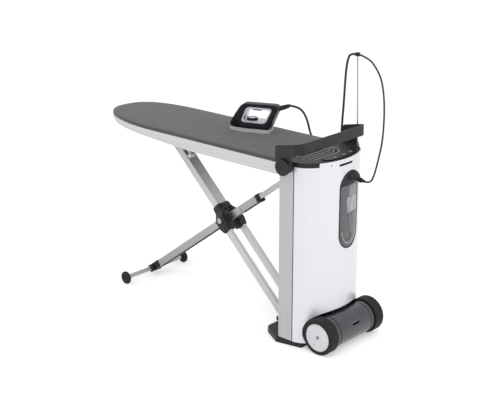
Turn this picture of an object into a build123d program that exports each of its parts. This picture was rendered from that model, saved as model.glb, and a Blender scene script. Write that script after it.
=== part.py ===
from build123d import *
from math import atan2, cos, degrees, hypot, radians, sin, sqrt, tan
import os

# A steam ironing system: a wheeled steam tower with a folding ironing board.
# X runs from the board's tip (minus) to the wheels (plus), the floor is z = 0,
# and the origin is on the underside of the base plate. Sizes are millimetres.

os.makedirs("parts", exist_ok=True)

# Clearances
RUN_GAP = 0.5
PIN_GAP = 0.3

# Tower plan: a flat front column, then a shell with an elliptic back
HALF_WIDTH = 198
COLUMN_FRONT = 1
COLUMN_BACK = 84
SEAM = 5
SHELL_FRONT = COLUMN_BACK + SEAM
SHELL_DEPTH = 120
WALL = 3
CORNER = 14
BASE_TOP = 28
RIM_BOTTOM = 820
TOWER_TOP = 840
SHELL_TOP = 838
RIM_END = 175
SLOT_HALF = 42
SLOT_BOTTOM = 130
VENT_WIDE = 90

# Base plate and wheels
BASE_TIP = -103
BASE_TIP_HALF = HALF_WIDTH - 52
BASE_BACK = 168
WHEEL_X = 218
WHEEL_R = 80
WHEEL_OUT = HALF_WIDTH - 12
WHEEL_W = 54
HUB_R = 62
AXLE_R = 7
FENDER_R = 71
FENDER_HALF = HALF_WIDTH - 70

# Ironing board
BOARD_END = -2
BOARD_STRAIGHT = -779
BOARD_TIP = -1202
BOARD_HALF = HALF_WIDTH + 2
COVER_TOP = 836
COVER_BOTTOM = 822
COVER_EDGE = 3
BAND_BOTTOM = 768
BAND_WALL = 3
TIP_BAND = 26
DECK_Z = 814
DECK_T = 3
TRAY_Z = 788
TRAY_T = 3

# Linkage: board hinge, leg pivots and foot, as points of the x-z plane
HINGE = (-22, 828)
TOP_PIVOT = (-815, 746)
BASE_PIVOT = (-90, 45)
FOOT = (-985, 31)
TUBE_PIVOT = (-62, 719)
PIN_R = 7

# Leg sections: leg A is a wide channel over two rails, leg B a telescopic tube
LEG_DEPTH = 48
LEG_HALF = 56
LEG_B_HALF = 18
LEG_B_DEPTH = 34
LEG_GAP = 2.5
TUBE_WALL = 2.5
INNER_HALF = 12.5
INNER_DEPTH = 23
COLLAR_AT = 239
INNER_START = 175
CROSSBAR_R = 11
FOOT_R = 31
FOOT_T = 12
CROSSBAR_HALF = HALF_WIDTH - 8

# Bow handle and its hubs
HUB = (56, 820)
HUB_KNOB_R = 36
BOW_Y = HALF_WIDTH + 27
BOW_T = 8
BOW_BACK = 144
BOW_H = 46

# Water tank, its window, and the hose fittings
WINDOW_Y = 32
WINDOW_HALF = 73
WINDOW_BOTTOM = 430
WINDOW_TOP = 780
TANK_TOP = 716
TANK_GAP = 0.5
SOCKET_Y = 60
SOCKET_Z = 736
SOCKET_R = 36
ROD_FOOT = (108, HALF_WIDTH + 10, 790)
ROD_HEAD = (93, HALF_WIDTH + 10, 1232)
ROD_R = 3

# Iron: its middle on the board, its heading, and its length and width
IRON_AT = (-365, 75)
IRON_TURN = 46
IRON_L = 236
IRON_W = 112
SOLE_T = 12
IRON_H = 124


def shell_x(y, inset=0):
    """How far back the tower's shell reaches at a distance y from its middle."""
    a, b = SHELL_DEPTH - inset, HALF_WIDTH - inset
    return SHELL_FRONT + a * sqrt(max(0, 1 - (y / b) ** 2))


def plan_shell(inset):
    """The half ellipse behind the seam, drawn in by inset."""
    oval = Pos(SHELL_FRONT, 0) * Ellipse(SHELL_DEPTH - inset, HALF_WIDTH - inset)
    return oval & Pos(SHELL_FRONT + SHELL_DEPTH, 0) * Rectangle(2 * SHELL_DEPTH, 3 * HALF_WIDTH)


def block(x0, x1, y0, y1, z0, z1):
    """A box between two corners."""
    return Pos((x0 + x1) / 2, (y0 + y1) / 2, (z0 + z1) / 2) * Box(x1 - x0, y1 - y0, z1 - z0)


def rod_y(x, z, r, y0, y1):
    """A round bar along Y."""
    return Pos(x, (y0 + y1) / 2, z) * Rot(90, 0, 0) * Cylinder(r, y1 - y0)


def slab_y(face, y0, y1):
    """A face drawn in x and z, made solid from y0 to y1."""
    upright = Plane((0, y0, 0), x_dir=(1, 0, 0), z_dir=(0, -1, 0)) * face
    return extrude(upright, y1 - y0, dir=(0, 1, 0))


def mirror_y(solid):
    """The same piece on the far side."""
    return mirror(solid, Plane.XZ)


def save(name, *solids):
    """Write one node, made of one or more separate solids."""
    shape = solids[0] if len(solids) == 1 else Compound(children=list(solids))
    export_step(shape, f"parts/{name}.step")


# Tower


def base_plate():
    """Flat foot under the tower, with a pocket in its front for the legs' feet."""
    with BuildSketch() as plan:
        with BuildLine():
            Polyline(
                (BASE_TIP, -BASE_TIP_HALF),
                (COLUMN_FRONT, -HALF_WIDTH - 6),
                (WHEEL_X - WHEEL_R - 14, -HALF_WIDTH + 20),
                (WHEEL_X - WHEEL_R - 14, -FENDER_HALF + 6),
                (BASE_BACK - 20, -FENDER_HALF + 6),
                (BASE_BACK - 20, FENDER_HALF - 6),
                (WHEEL_X - WHEEL_R - 14, FENDER_HALF - 6),
                (WHEEL_X - WHEEL_R - 14, HALF_WIDTH - 20),
                (COLUMN_FRONT, HALF_WIDTH + 6),
                (BASE_TIP, BASE_TIP_HALF),
                close=True,
            )
        make_face()
    plate = extrude(plan.sketch, BASE_TOP)
    corners = plate.edges().filter_by(Axis.Z).group_by(Axis.X)[0]
    plate = fillet(corners, 30)
    plate = fillet(plate.faces().sort_by(Axis.Z)[-1].outer_wire().edges(), 5)
    return plate - block(BASE_TIP - 1, POCKET_BACK, -POCKET_HALF, POCKET_HALF, 6, BASE_TOP + 1)


POCKET_HALF = LEG_HALF + 5
POCKET_BACK = -48


def leg_cradles():
    """Two open saddles on the base plate, where the foot pin of the long leg rests."""
    x, z = BASE_PIVOT
    saddles = []
    for side in (-1, 1):
        inner = side * (POCKET_HALF + 1)
        outer = side * (POCKET_HALF + 13)
        body = block(x - 20, x + 24, min(inner, outer), max(inner, outer), BASE_TOP, z + 3)
        for drift in (0, 2.5):
            body -= rod_y(x + drift, z, PIN_R + 2, min(inner, outer) - 1, max(inner, outer) + 1)
        body -= block(x - 21, x + PIN_R + 6, min(inner, outer) - 1, max(inner, outer) + 1, z, z + 9)
        saddles.append(body)
    return saddles


def front_column():
    """Aluminium channel that faces the board, slotted for the carriage."""
    outer = block(COLUMN_FRONT, COLUMN_BACK, -HALF_WIDTH, HALF_WIDTH, BASE_TOP, RIM_BOTTOM)
    outer = fillet(outer.edges().filter_by(Axis.Z).group_by(Axis.X)[0], CORNER)
    back = COLUMN_BACK + 1
    inner = block(COLUMN_FRONT + WALL, back, -HALF_WIDTH + WALL, HALF_WIDTH - WALL, 0, TOWER_TOP)
    inner = fillet(inner.edges().filter_by(Axis.Z).group_by(Axis.X)[0], CORNER - WALL)
    slot = block(0, COLUMN_FRONT + WALL + 1, -SLOT_HALF, SLOT_HALF, SLOT_BOTTOM, TOWER_TOP)
    return outer - inner - slot


def seam_strips():
    """Dark sealing strips between the column and the shell."""
    near = block(COLUMN_BACK, SHELL_FRONT, -HALF_WIDTH + 1, -HALF_WIDTH + 12, BASE_TOP, RIM_BOTTOM)
    return [near, mirror_y(near)]


def slot_shape(bottom, top, half, x0, x1):
    """An upright slot with round ends, along X."""
    middle = (bottom + top) / 2
    with BuildSketch(Plane.YZ) as face:
        with Locations((WINDOW_Y, middle)):
            SlotOverall(top - bottom, 2 * half, rotation=90)
    return Pos(x0, 0, 0) * extrude(face.sketch, x1 - x0)


def body_shell():
    """Curved silver housing, open at the front, with the tank window and the wheel cut-out."""
    outer = extrude(plan_shell(0), SHELL_TOP - BASE_TOP)
    inner = extrude(plan_shell(WALL), SHELL_TOP - BASE_TOP)
    shell = Pos(0, 0, BASE_TOP) * (outer - inner)
    shell -= block(SHELL_FRONT - 1, RIM_END, -HALF_WIDTH - 1, HALF_WIDTH + 1, RIM_BOTTOM, TOWER_TOP)
    shell -= slot_shape(WINDOW_BOTTOM, WINDOW_TOP, WINDOW_HALF, RIM_END, WHEEL_X)
    shell -= rod_y(WHEEL_X, WHEEL_R, WHEEL_R + 6, -HALF_WIDTH, HALF_WIDTH)
    vent = extrude(SlotOverall(VENT_WIDE, 10, rotation=90), SHELL_DEPTH)
    vent = Pos(RIM_END, 0, SHELL_TOP - 23) * Rot(0, 90, 0) * vent
    hole = Pos(RIM_END, -0.43 * HALF_WIDTH, SHELL_TOP - 16) * Rot(0, 90, 0) * Cylinder(3.5, 2 * SHELL_DEPTH)
    return shell - vent - hole


def tower_top():
    """Black cover with nested U slots over the fan, its rim stepping down at the sides."""
    full = plan_shell(0) + Pos((20 + SHELL_FRONT) / 2, 0) * Rectangle(SHELL_FRONT - 20, 2 * HALF_WIDTH)
    deep = extrude(full & Pos(RIM_END - 250, 0) * Rectangle(500, 500), TOWER_TOP - RIM_BOTTOM)
    inset = plan_shell(WALL + RUN_GAP) & Pos(RIM_END + 40, 0) * Rectangle(82, 500)
    back = Pos(0, 0, 10) * extrude(inset, TOWER_TOP - RIM_BOTTOM - 10)
    front = extrude(
        Pos(11, 0) * Rectangle(20, 2 * HALF_WIDTH) - Pos(9, 0) * Rectangle(22, 2 * MAST_HALF + 6),
        TOWER_TOP - RIM_BOTTOM,
    )
    top = deep + back + front
    top = fillet(top.faces().sort_by(Axis.Z)[-1].outer_wire().edges().filter_by(GeomType.ELLIPSE), 3)
    hollow = plan_shell(12) + Pos(60, 0) * Rectangle(2 * (SHELL_FRONT - 60), 2 * HALF_WIDTH - 24)
    top -= Pos(0, 0, -1) * extrude(hollow & Pos(80, 0) * Rectangle(114, 500), 15)
    for n in range(GRILLE_SLOTS):
        r = GRILLE_STEP * n + GRILLE_EYE
        reach = GRILLE_LENGTH - GRILLE_STEP * n
        bend = Circle(r + GRILLE_CUT / 2) - Circle(r - GRILLE_CUT / 2)
        bend &= Pos(0, 50) * Rectangle(200, 100)
        slot = bend
        for side in (-r, r):
            slot += Pos(side, -reach / 2) * Rectangle(GRILLE_CUT, reach)
        top -= Pos(GRILLE_X, GRILLE_Y, 10) * extrude(slot, 15)
    return Pos(0, 0, RIM_BOTTOM) * top


MAST_HALF = 58
GRILLE_SLOTS = 5
GRILLE_EYE = 7
GRILLE_STEP = 10
GRILLE_CUT = 5
GRILLE_LENGTH = 190
GRILLE_X = 76
GRILLE_Y = 32


def tank_outline(bottom, top, half, x0, reach):
    """A slot-shaped body whose back follows the shell, drawn in by reach."""
    body = slot_shape(bottom, top, half, x0, SHELL_FRONT + SHELL_DEPTH)
    return body & Pos(0, 0, bottom - 1) * extrude(plan_shell(reach), top - bottom + 2)


def tank_recess():
    """Liner that the water tank slides into, fixed behind the shell's window."""
    grow = TANK_GAP + WALL
    outer = tank_outline(
        WINDOW_BOTTOM - grow, WINDOW_TOP + grow, WINDOW_HALF + grow, SHELL_FRONT, WALL + 0.2
    )
    hollow = slot_shape(WINDOW_BOTTOM, WINDOW_TOP, WINDOW_HALF, SHELL_FRONT + WALL, 300)
    return outer & low_part(TANK_TOP + grow) - (hollow & low_part(TANK_TOP + TANK_GAP))


def low_part(top):
    """Everything in the tower below a height."""
    return block(0, 300, -HALF_WIDTH, HALF_WIDTH, 0, top)


def tank_parts():
    """Smoky water bottle that fills the window, with its cartridge and stem inside."""
    bottom, half = WINDOW_BOTTOM + TANK_GAP, WINDOW_HALF - TANK_GAP
    x0 = SHELL_FRONT + WALL + RUN_GAP
    x1 = SHELL_FRONT + SHELL_DEPTH
    outer = tank_outline(bottom, WINDOW_TOP, half, x0, 0) & low_part(TANK_TOP)
    inner = slot_shape(bottom + 3, WINDOW_TOP, half - 3, x0 + 3, 300) & low_part(TANK_TOP - 3)
    inner &= Pos(0, 0, bottom) * extrude(plan_shell(4), WINDOW_TOP - bottom)
    fill_hole = Pos(x0 + 40, WINDOW_Y, TANK_TOP - 10) * Cylinder(16, 30)
    bottle = outer - inner - fill_hole
    grip_y, grip_z = WINDOW_Y - 17, bottom + 70
    grip = Circle(GRIP_RING) - Circle(GRIP_RING - 6)
    grip = Pos(x1 - 20, grip_y, grip_z) * Rot(0, 90, 0) * extrude(grip, 40)
    grip &= block(x0, x1 + 8, grip_y - 50, grip_y + 50, bottom, grip_z - 4)
    grip &= Pos(0, 0, bottom) * extrude(plan_shell(-2) - plan_shell(3), 2 * GRIP_RING)
    bottle += grip
    cartridge = block(x0 + 30, x1 - 6, WINDOW_Y - 14, WINDOW_Y + half - 13, bottom + 154, bottom + 216)
    cartridge &= Pos(0, 0, bottom) * extrude(plan_shell(4.3), 300)
    stem = Pos(x0 + 40, WINDOW_Y + 22, bottom + 87) * Cylinder(7, 144)
    return bottle, cartridge + stem


GRIP_RING = 38


def tank_cap():
    """Round filler cap, pressed into the top of the tank."""
    x0 = SHELL_FRONT + WALL + RUN_GAP
    plug = Pos(x0 + 40, WINDOW_Y, TANK_TOP - 12) * Cylinder(16, 14)
    return plug


def control_panel():
    """Sloping key strip along the back edge of the tower's cover."""
    band = plan_shell(14) - plan_shell(44)
    band &= Pos(SHELL_FRONT + SHELL_DEPTH + 6, PANEL_MID) * Rectangle(180, PANEL_WIDE)
    panel = Pos(0, 0, TOWER_TOP) * extrude(band, PANEL_T)
    for n in range(KEYS):
        panel -= Pos(*key_place(n), TOWER_TOP) * Cylinder(KEY_R + PIN_GAP, 4 * PANEL_T)
    return panel


PANEL_T = 4
PANEL_MID = 0.1 * HALF_WIDTH
PANEL_WIDE = 1.16 * HALF_WIDTH
KEYS = 3
KEY_R = 8
KEY_T = 5
KEY_TRAVEL = 1.2


def key_place(n):
    """Plan position of a key: they follow the cover's curve."""
    turn = radians(-14 + 20 * n)
    return SHELL_FRONT + (SHELL_DEPTH - 29) * cos(turn), (HALF_WIDTH - 29) * sin(turn)


def key(n):
    """A round push key that stands a little above the strip."""
    body = Pos(*key_place(n), TOWER_TOP + KEY_TRAVEL + 0.3 + KEY_T / 2) * Cylinder(KEY_R, KEY_T)
    return fillet(body.faces().sort_by(Axis.Z)[-1].edges(), 1)


def bow_handle():
    """Wide U band: up from each hub, back over the tower's top and across."""
    x, z = HUB
    long = 2 * (BOW_BACK - BOW_FRONT)
    outer = RectangleRounded(long, 2 * BOW_Y + BOW_T, BOW_CORNER)
    inner = RectangleRounded(long - 2 * BOW_T, 2 * BOW_Y - BOW_T, BOW_CORNER - BOW_T)
    plan = Pos(BOW_FRONT, 0) * (outer - inner)
    plan &= Pos(BOW_FRONT - BOW_T / 2 + 200, 0) * Rectangle(400, 3 * BOW_Y)
    band = Pos(0, 0, z - 60) * extrude(plan, 220)
    rise = tan(radians(BOW_RISE))
    z0 = BOW_SHOULDER
    z1 = z0 + rise * (BOW_BACK + BOW_T - BOW_FRONT)
    side = Polygon(
        (BOW_FRONT - BOW_T, z0),
        (BOW_BACK + BOW_T, z1),
        (BOW_BACK + BOW_T, z1 - BOW_H),
        (x + HUB_KNOB_R - 2, z0 + rise * (x + HUB_KNOB_R - BOW_FRONT) - BOW_H - 8),
        (x + HUB_KNOB_R - 4, z),
        (x - HUB_KNOB_R + 4, z),
        (BOW_FRONT - BOW_T, z0 - BOW_H + 10),
        align=None,
    )
    front = side.vertices().group_by(Axis.X)[0].sort_by(Axis.Y)
    side = fillet(front[-1], BOW_ROUND)
    front = side.vertices().filter_by(lambda v: v.Y < z0 - BOW_H + 11).sort_by(Axis.X)[0]
    side = fillet(front, BOW_ROUND)
    outline = slab_y(side, -BOW_Y - BOW_T, BOW_Y + BOW_T)
    outline += rod_y(x, z, HUB_KNOB_R - 4, -BOW_Y - BOW_T, BOW_Y + BOW_T)
    bow = band & outline
    for side in (-1, 1):
        boss = rod_y(x, z, HUB_KNOB_R - 6, *sorted((side * (HALF_WIDTH + 0.2), side * BOW_Y)))
        bow += boss
        bow -= rod_y(x, z, 8 + PIN_GAP, *sorted((side * (BOW_Y - 12), side * (BOW_Y + 20))))
    return bow


BOW_FRONT = 14
BOW_CORNER = 42
BOW_RISE = 12
BOW_SHOULDER = 904
BOW_ROUND = 22


def hub_knob(side):
    """Ribbed turning knob on the outside of a hub."""
    x, z = HUB
    y1 = BOW_Y + BOW_T / 2
    knob = Circle(HUB_KNOB_R)
    for n in range(KNOB_RIBS):
        turn = 360 * n / KNOB_RIBS
        knob -= Rot(0, 0, turn) * Pos(HUB_KNOB_R + 1, 0) * Circle(2.6)
    body = extrude(knob, KNOB_T)
    body = Pos(x, -y1 - 0.5, z) * Rot(90, 0, 0) * body
    dot = Pos(x - 18, -y1 - 0.5 - KNOB_T, z + 14) * Rot(90, 0, 0) * Cylinder(4, 2)
    body -= dot
    stem = rod_y(x, z, 8, -y1 - 1, -BOW_Y + 10)
    body += stem
    return body if side < 0 else mirror_y(body)


KNOB_RIBS = 18
KNOB_T = 12


def wheel_fender():
    """Dark drum between the wheels, with a grip recess and a groove."""
    drum = rod_y(WHEEL_X, WHEEL_R, FENDER_R, -FENDER_HALF, FENDER_HALF)
    drum = fillet(drum.edges().filter_by(GeomType.CIRCLE), 4)
    drum -= rod_y(WHEEL_X, WHEEL_R, FENDER_R - 4, -FENDER_HALF + 4, FENDER_HALF - 4)
    drum -= rod_y(WHEEL_X, WHEEL_R, AXLE_R + PIN_GAP, -FENDER_HALF - 1, FENDER_HALF + 1)
    for y in (-FENDER_HALF + 22, FENDER_HALF - 22):
        ring = rod_y(WHEEL_X, WHEEL_R, FENDER_R + 1, y - 3, y + 3)
        drum -= ring - rod_y(WHEEL_X, WHEEL_R, FENDER_R - 2, y - 4, y + 4)
    recess = Pos(WHEEL_X + FENDER_R - 10, 0, WHEEL_R + 30) * Rot(0, 90, 0)
    drum -= recess * extrude(SlotOverall(48, 16, rotation=90), 40)
    for side in (-1, 1):
        y0, y1 = side * ARM_Y - ARM_T / 2 - PIN_GAP, side * ARM_Y + ARM_T / 2 + PIN_GAP
        top = WHEEL_R + 16 + PIN_GAP
        drum -= block(SHELL_FRONT, WHEEL_X + 14 + PIN_GAP, y0, y1, BASE_TOP - PIN_GAP, top)
    return drum


def axle():
    """Steel axle through the drum, carried by two bearing blocks on the base."""
    return rod_y(WHEEL_X, WHEEL_R, AXLE_R, -WHEEL_OUT + 10, WHEEL_OUT - 10)


def tyre(side):
    """Soft tyre with a stepped shoulder."""
    y0, y1 = -WHEEL_OUT, -WHEEL_OUT + WHEEL_W
    ring = rod_y(WHEEL_X, WHEEL_R, WHEEL_R, y0, y1)
    ring = fillet(ring.edges().filter_by(GeomType.CIRCLE), 6)
    ring -= rod_y(WHEEL_X, WHEEL_R, HUB_R, y0 - 1, y1 + 1)
    return ring if side < 0 else mirror_y(ring)


def wheel_hub(side):
    """Pale dished hub cap with its boss on the axle."""
    y0, y1 = -WHEEL_OUT + 1.5, -WHEEL_OUT + WHEEL_W - 2
    disc = rod_y(WHEEL_X, WHEEL_R, HUB_R, y0, y1)
    dish = Pos(WHEEL_X, y0 - 148, WHEEL_R) * Sphere(150)
    disc = disc - dish
    disc -= rod_y(WHEEL_X, WHEEL_R, HUB_R - 5, y0 + 8, y1 + 1) - rod_y(WHEEL_X, WHEEL_R, 14, y0, y1 + 2)
    disc -= rod_y(WHEEL_X, WHEEL_R, AXLE_R + PIN_GAP, y0 + 6, y1 + 2)
    return disc if side < 0 else mirror_y(disc)


def wheel_arm(side):
    """Plate on the base plate that carries the drum and the axle."""
    y0, y1 = -ARM_Y - ARM_T / 2, -ARM_Y + ARM_T / 2
    arm = block(SHELL_FRONT + 8, WHEEL_X + 14, y0, y1, BASE_TOP, WHEEL_R + 16)
    arm += block(SHELL_FRONT + 8, BASE_BACK - 24, y0, y1 + 10, BASE_TOP, BASE_TOP + 6)
    arm -= rod_y(WHEEL_X, WHEEL_R, AXLE_R, y0 - 1, y1 + 1)
    return arm if side < 0 else mirror_y(arm)


ARM_Y = FENDER_HALF - 28
ARM_T = 8


# Inside the tower


def inner_frame():
    """Folded sheet rack on the base plate, with shelves for the boiler and the tank."""
    side = block(FRAME_FRONT, FRAME_BACK, -FRAME_HALF, -FRAME_HALF + 3, BASE_TOP, TANK_SHELF)
    rack = side + mirror_y(side)
    for z in (PUMP_SHELF, BOILER_SHELF, TANK_SHELF):
        rack += block(FRAME_FRONT, FRAME_BACK, -FRAME_HALF, FRAME_HALF, z - 3, z)
    front = block(FRAME_FRONT, FRAME_FRONT + 3, -FRAME_HALF, FRAME_HALF, TANK_SHELF - 3, FAN_Z)
    rack += front - block(FRAME_FRONT - 1, FRAME_FRONT + 4, -70, 70, TANK_SHELF + 40, FAN_Z - 60)
    rack += block(FRAME_FRONT, FAN_X + 40, -FRAME_HALF, FRAME_HALF, FAN_Z - 3, FAN_Z)
    return rack


FRAME_FRONT = 34
FRAME_BACK = 136
FRAME_HALF = HALF_WIDTH - 80
PUMP_SHELF = 165
BOILER_SHELF = 236
TANK_SHELF = WINDOW_BOTTOM - TANK_GAP - WALL
FAN_X = 76
FAN_Y = 0
FAN_Z = 756
FAN_R = 50
BOILER_R = 46
BOILER_L = 190
BOILER_WALL = 2


def boiler():
    """Steam boiler: a lying steel drum with domed ends, its filler and its steam outlet."""
    z = BOILER_SHELF + BOILER_R + 12
    x = (FRAME_FRONT + FRAME_BACK) / 2
    drum = rod_y(x, z, BOILER_R, -BOILER_L / 2, BOILER_L / 2)
    drum = fillet(drum.edges().filter_by(GeomType.CIRCLE), 16)
    for y in (-50, 50):
        foot = block(x - 34, x + 34, y - 4, y + 4, BOILER_SHELF, z)
        drum += foot
        drum += Pos(x, y * 0.7, z + BOILER_R + 4) * Cylinder(8, 20)
    hollow = rod_y(x, z, BOILER_R - BOILER_WALL, -BOILER_L / 2 + BOILER_WALL, BOILER_L / 2 - BOILER_WALL)
    return drum - fillet(hollow.edges().filter_by(GeomType.CIRCLE), 14)


def pump():
    """Water pump: a coil body with an inlet and an outlet stub, on its shelf."""
    tall = 0.68 * (BOILER_SHELF - PUMP_SHELF)
    z = PUMP_SHELF + tall / 2
    body = block(66, 106, -60, 0, PUMP_SHELF, PUMP_SHELF + tall)
    body = fillet(body.edges().filter_by(Axis.X), 5)
    body += rod_y(86, z, 12, 0, 26) + rod_y(86, z, 6, 26, 44) + rod_y(86, z, 6, -80, -60)
    return body


def power_board():
    """Control board on four spacers behind the keys' side of the rack."""
    bay = BOILER_SHELF - PUMP_SHELF
    board = block(50, 120, 80, 82, PUMP_SHELF, PUMP_SHELF + 0.84 * bay)
    for x, y, up in ((60, 72, 0.35), (80, 68, 0.49), (104, 74, 0.3)):
        z = PUMP_SHELF + up * bay
        board += block(x - 8, x + 8, y, 81, z - 0.14 * bay, z + 0.14 * bay)
    return board


def fan_housing():
    """Ring of the blower under the grille, on a flat foot."""
    ring = Cylinder(FAN_R, FAN_H) - Cylinder(FAN_R - 3, FAN_H)
    ring = Pos(FAN_X, FAN_Y, FAN_Z + FAN_H / 2) * ring
    for turn in (0, 60, 120):
        bar = Pos(FAN_X, FAN_Y, FAN_Z + 2) * Rot(0, 0, turn) * Box(2 * FAN_R - 2, 6, 4)
        ring += bar
    ring += Pos(FAN_X, FAN_Y, FAN_Z + 10) * Cylinder(16, 20)
    return ring - Pos(FAN_X, FAN_Y, FAN_Z + 20) * Cylinder(3 + PIN_GAP, 12)


FAN_H = 60


def fan_impeller():
    """Seven swept blades on a hub, over the blower's motor."""
    z = FAN_Z + 21
    wheel = Pos(FAN_X, FAN_Y, z + 12) * Cylinder(17, 24)
    wheel += Pos(FAN_X, FAN_Y, z - 2) * Cylinder(3, 6)
    for n in range(7):
        blade = Pos(FAN_R / 2 + 6, 0, 0) * Rot(35, 0, 0) * Box(FAN_R - 20, 22, 2)
        wheel += Pos(FAN_X, FAN_Y, z + 12) * Rot(0, 0, 360 * n / 7) * blade
    return wheel


# Hose fittings


def socket_plate():
    """Dark plate that closes the window above the tank, held by a flange behind the shell."""
    low = TANK_TOP + 1
    tall = WINDOW_TOP + 6 - low
    edge = PIN_GAP
    face = slot_shape(WINDOW_BOTTOM, WINDOW_TOP - edge, WINDOW_HALF - edge, SHELL_FRONT, 300)
    flange = slot_shape(WINDOW_BOTTOM, WINDOW_TOP + 4, WINDOW_HALF + 4, SHELL_FRONT, 300)
    skin = Pos(0, 0, low) * extrude(plan_shell(0.4) - plan_shell(WALL), tall)
    deep = Pos(0, 0, low + 4) * extrude(plan_shell(WALL) - plan_shell(WALL + 3), tall - 4)
    back = Pos(0, 0, low + 4) * extrude(plan_shell(WALL + 0.2) - plan_shell(WALL + 3), tall - 4)
    return (face & skin) + (face & deep) + (flange & back)


def hose_socket():
    """Black half dome on the plate over the tank, where the hose plugs in."""
    x = shell_x(SOCKET_Y)
    reach = 2 * SOCKET_R
    dome = Pos(x - 10, SOCKET_Y, SOCKET_Z) * Sphere(SOCKET_R)
    dome &= block(x - reach, x + reach, SOCKET_Y - reach, SOCKET_Y + reach, SOCKET_Z, SOCKET_Z + reach)
    edge = PIN_GAP
    face = slot_shape(WINDOW_BOTTOM, WINDOW_TOP - edge, WINDOW_HALF - edge, SHELL_FRONT, 300)
    dome -= Pos(0, 0, SOCKET_Z - 60) * extrude(plan_shell(0), 120) - face
    dome -= Pos(0, 0, SOCKET_Z - 60) * extrude(plan_shell(0.4), 120)
    dome = dome.solids().sort_by(SortBy.VOLUME)[-1]
    return dome + socket_plate() - plug_place(PLUG_START + 20) * Cylinder(PLUG_R + PIN_GAP, 40)


PLUG_R = 8
PLUG_L = 30
PLUG_TILT = 95
PLUG_TAPER = 16


def plug_place(along=0):
    """Frame of the hose plug, with Z along it, away from the socket."""
    x = shell_x(SOCKET_Y) + 2
    return Pos(x, SOCKET_Y, SOCKET_Z + 2) * Rot(0, PLUG_TILT, 0) * Pos(0, 0, along)


def hose_plug():
    """Plug of the steam hose: a ribbed grip that tapers to the hose."""
    grip = Pos(0, 0, PLUG_START + PLUG_L / 2) * Cylinder(PLUG_R, PLUG_L)
    grip += Pos(0, 0, PLUG_START + 22) * Cylinder(PLUG_R + 3, 10)
    taper = Pos(0, 0, PLUG_START + PLUG_L + PLUG_TAPER / 2) * Cone(PLUG_R, HOSE_R + 1.5, PLUG_TAPER)
    return plug_place() * (grip + taper)


PLUG_START = 11
HOSE_R = 4
BRAID_R = 5


def plug_end():
    """Where the hose leaves the plug."""
    p = plug_place(PLUG_START + PLUG_L + PLUG_TAPER + 0.4).position
    return (p.X, p.Y, p.Z)


def rod_socket():
    """Bracket on the tower's far flank that the hose rod stands in."""
    x, y, z = ROD_FOOT
    body = block(x - 9, x + 9, y - 20, y + 7, z - 20, z + 26)
    body = body - Pos(0, 0, z - 60) * extrude(plan_shell(0), 200)
    return body - rod_line(ROD_R + PIN_GAP)


def rod_line(r):
    """A straight bar along the hose rod."""
    a, b = Vector(*ROD_FOOT), Vector(*ROD_HEAD)
    way = b - a
    frame = Plane(origin=(a + b) / 2, z_dir=way)
    return frame * Cylinder(r, way.length)


def hose_rod():
    """Springy steel rod that holds the hose up."""
    return rod_line(ROD_R)


def hose_clip():
    """Small cleat on the rod's head that the hose hangs over."""
    x, y, z = ROD_HEAD
    body = block(x - CLIP_HALF, x + CLIP_HALF, y - 8, y + 8, z - 8, z + 8)
    body = fillet(body.edges(), 2)
    return body - rod_line(ROD_R)


# Board


def board_plan(grow):
    """Outline of the board: straight sides and a rounded nose, grown or drawn in."""
    end = BOARD_END + grow
    middle = (end + BOARD_STRAIGHT) / 2
    straight = Pos(middle, 0) * Rectangle(end - BOARD_STRAIGHT, 2 * (BOARD_HALF + grow))
    nose = Ellipse(BOARD_STRAIGHT - BOARD_TIP + grow, BOARD_HALF + grow)
    nose &= Pos(-400, 0) * Rectangle(800, 800)
    return straight + Pos(BOARD_STRAIGHT, 0) * nose


def band_wedge():
    """Space under the sloping lower edge of the side band, to be cut away."""
    drop = COVER_BOTTOM - TIP_BAND - BAND_BOTTOM
    return slab_y(
        Polygon(
            (BOARD_END + 5, BAND_BOTTOM - 60),
            (BOARD_END + 5, BAND_BOTTOM),
            (BOARD_STRAIGHT, BAND_BOTTOM + 0.45 * drop),
            (BOARD_TIP - 5, BAND_BOTTOM + drop),
            (BOARD_TIP - 5, BAND_BOTTOM - 60),
            align=None,
        ),
        -300,
        300,
    )


def board_band():
    """Painted side band all round the board, deeper at the tower's end."""
    low = BAND_BOTTOM - 5
    ring = extrude(board_plan(0) - board_plan(-BAND_WALL), COVER_BOTTOM - low)
    ring = Pos(0, 0, low) * ring - band_wedge()
    return ring - block(BOARD_END - 20, BOARD_END + 1, -MOUTH_HALF, MOUTH_HALF, low, COVER_BOTTOM)


MOUTH_HALF = 64
MOUTH_DEEP = 142


def board_deck():
    """Perforated steel deck under the cover, with slots for steam."""
    deck = Pos(0, 0, DECK_Z) * extrude(board_plan(-BAND_WALL), DECK_T)
    for x in range(-1050, -120, 90):
        for y in (-120, -60, 0, 60, 120):
            inside = abs(y) < 100 or x > -900
            if inside:
                deck -= Pos(x, y, DECK_Z) * Box(60, 8, 20)
    return deck - block(BOARD_END - 40, BOARD_END, -MOUTH_HALF, MOUTH_HALF, DECK_Z - 1, DECK_Z + 9)


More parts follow.
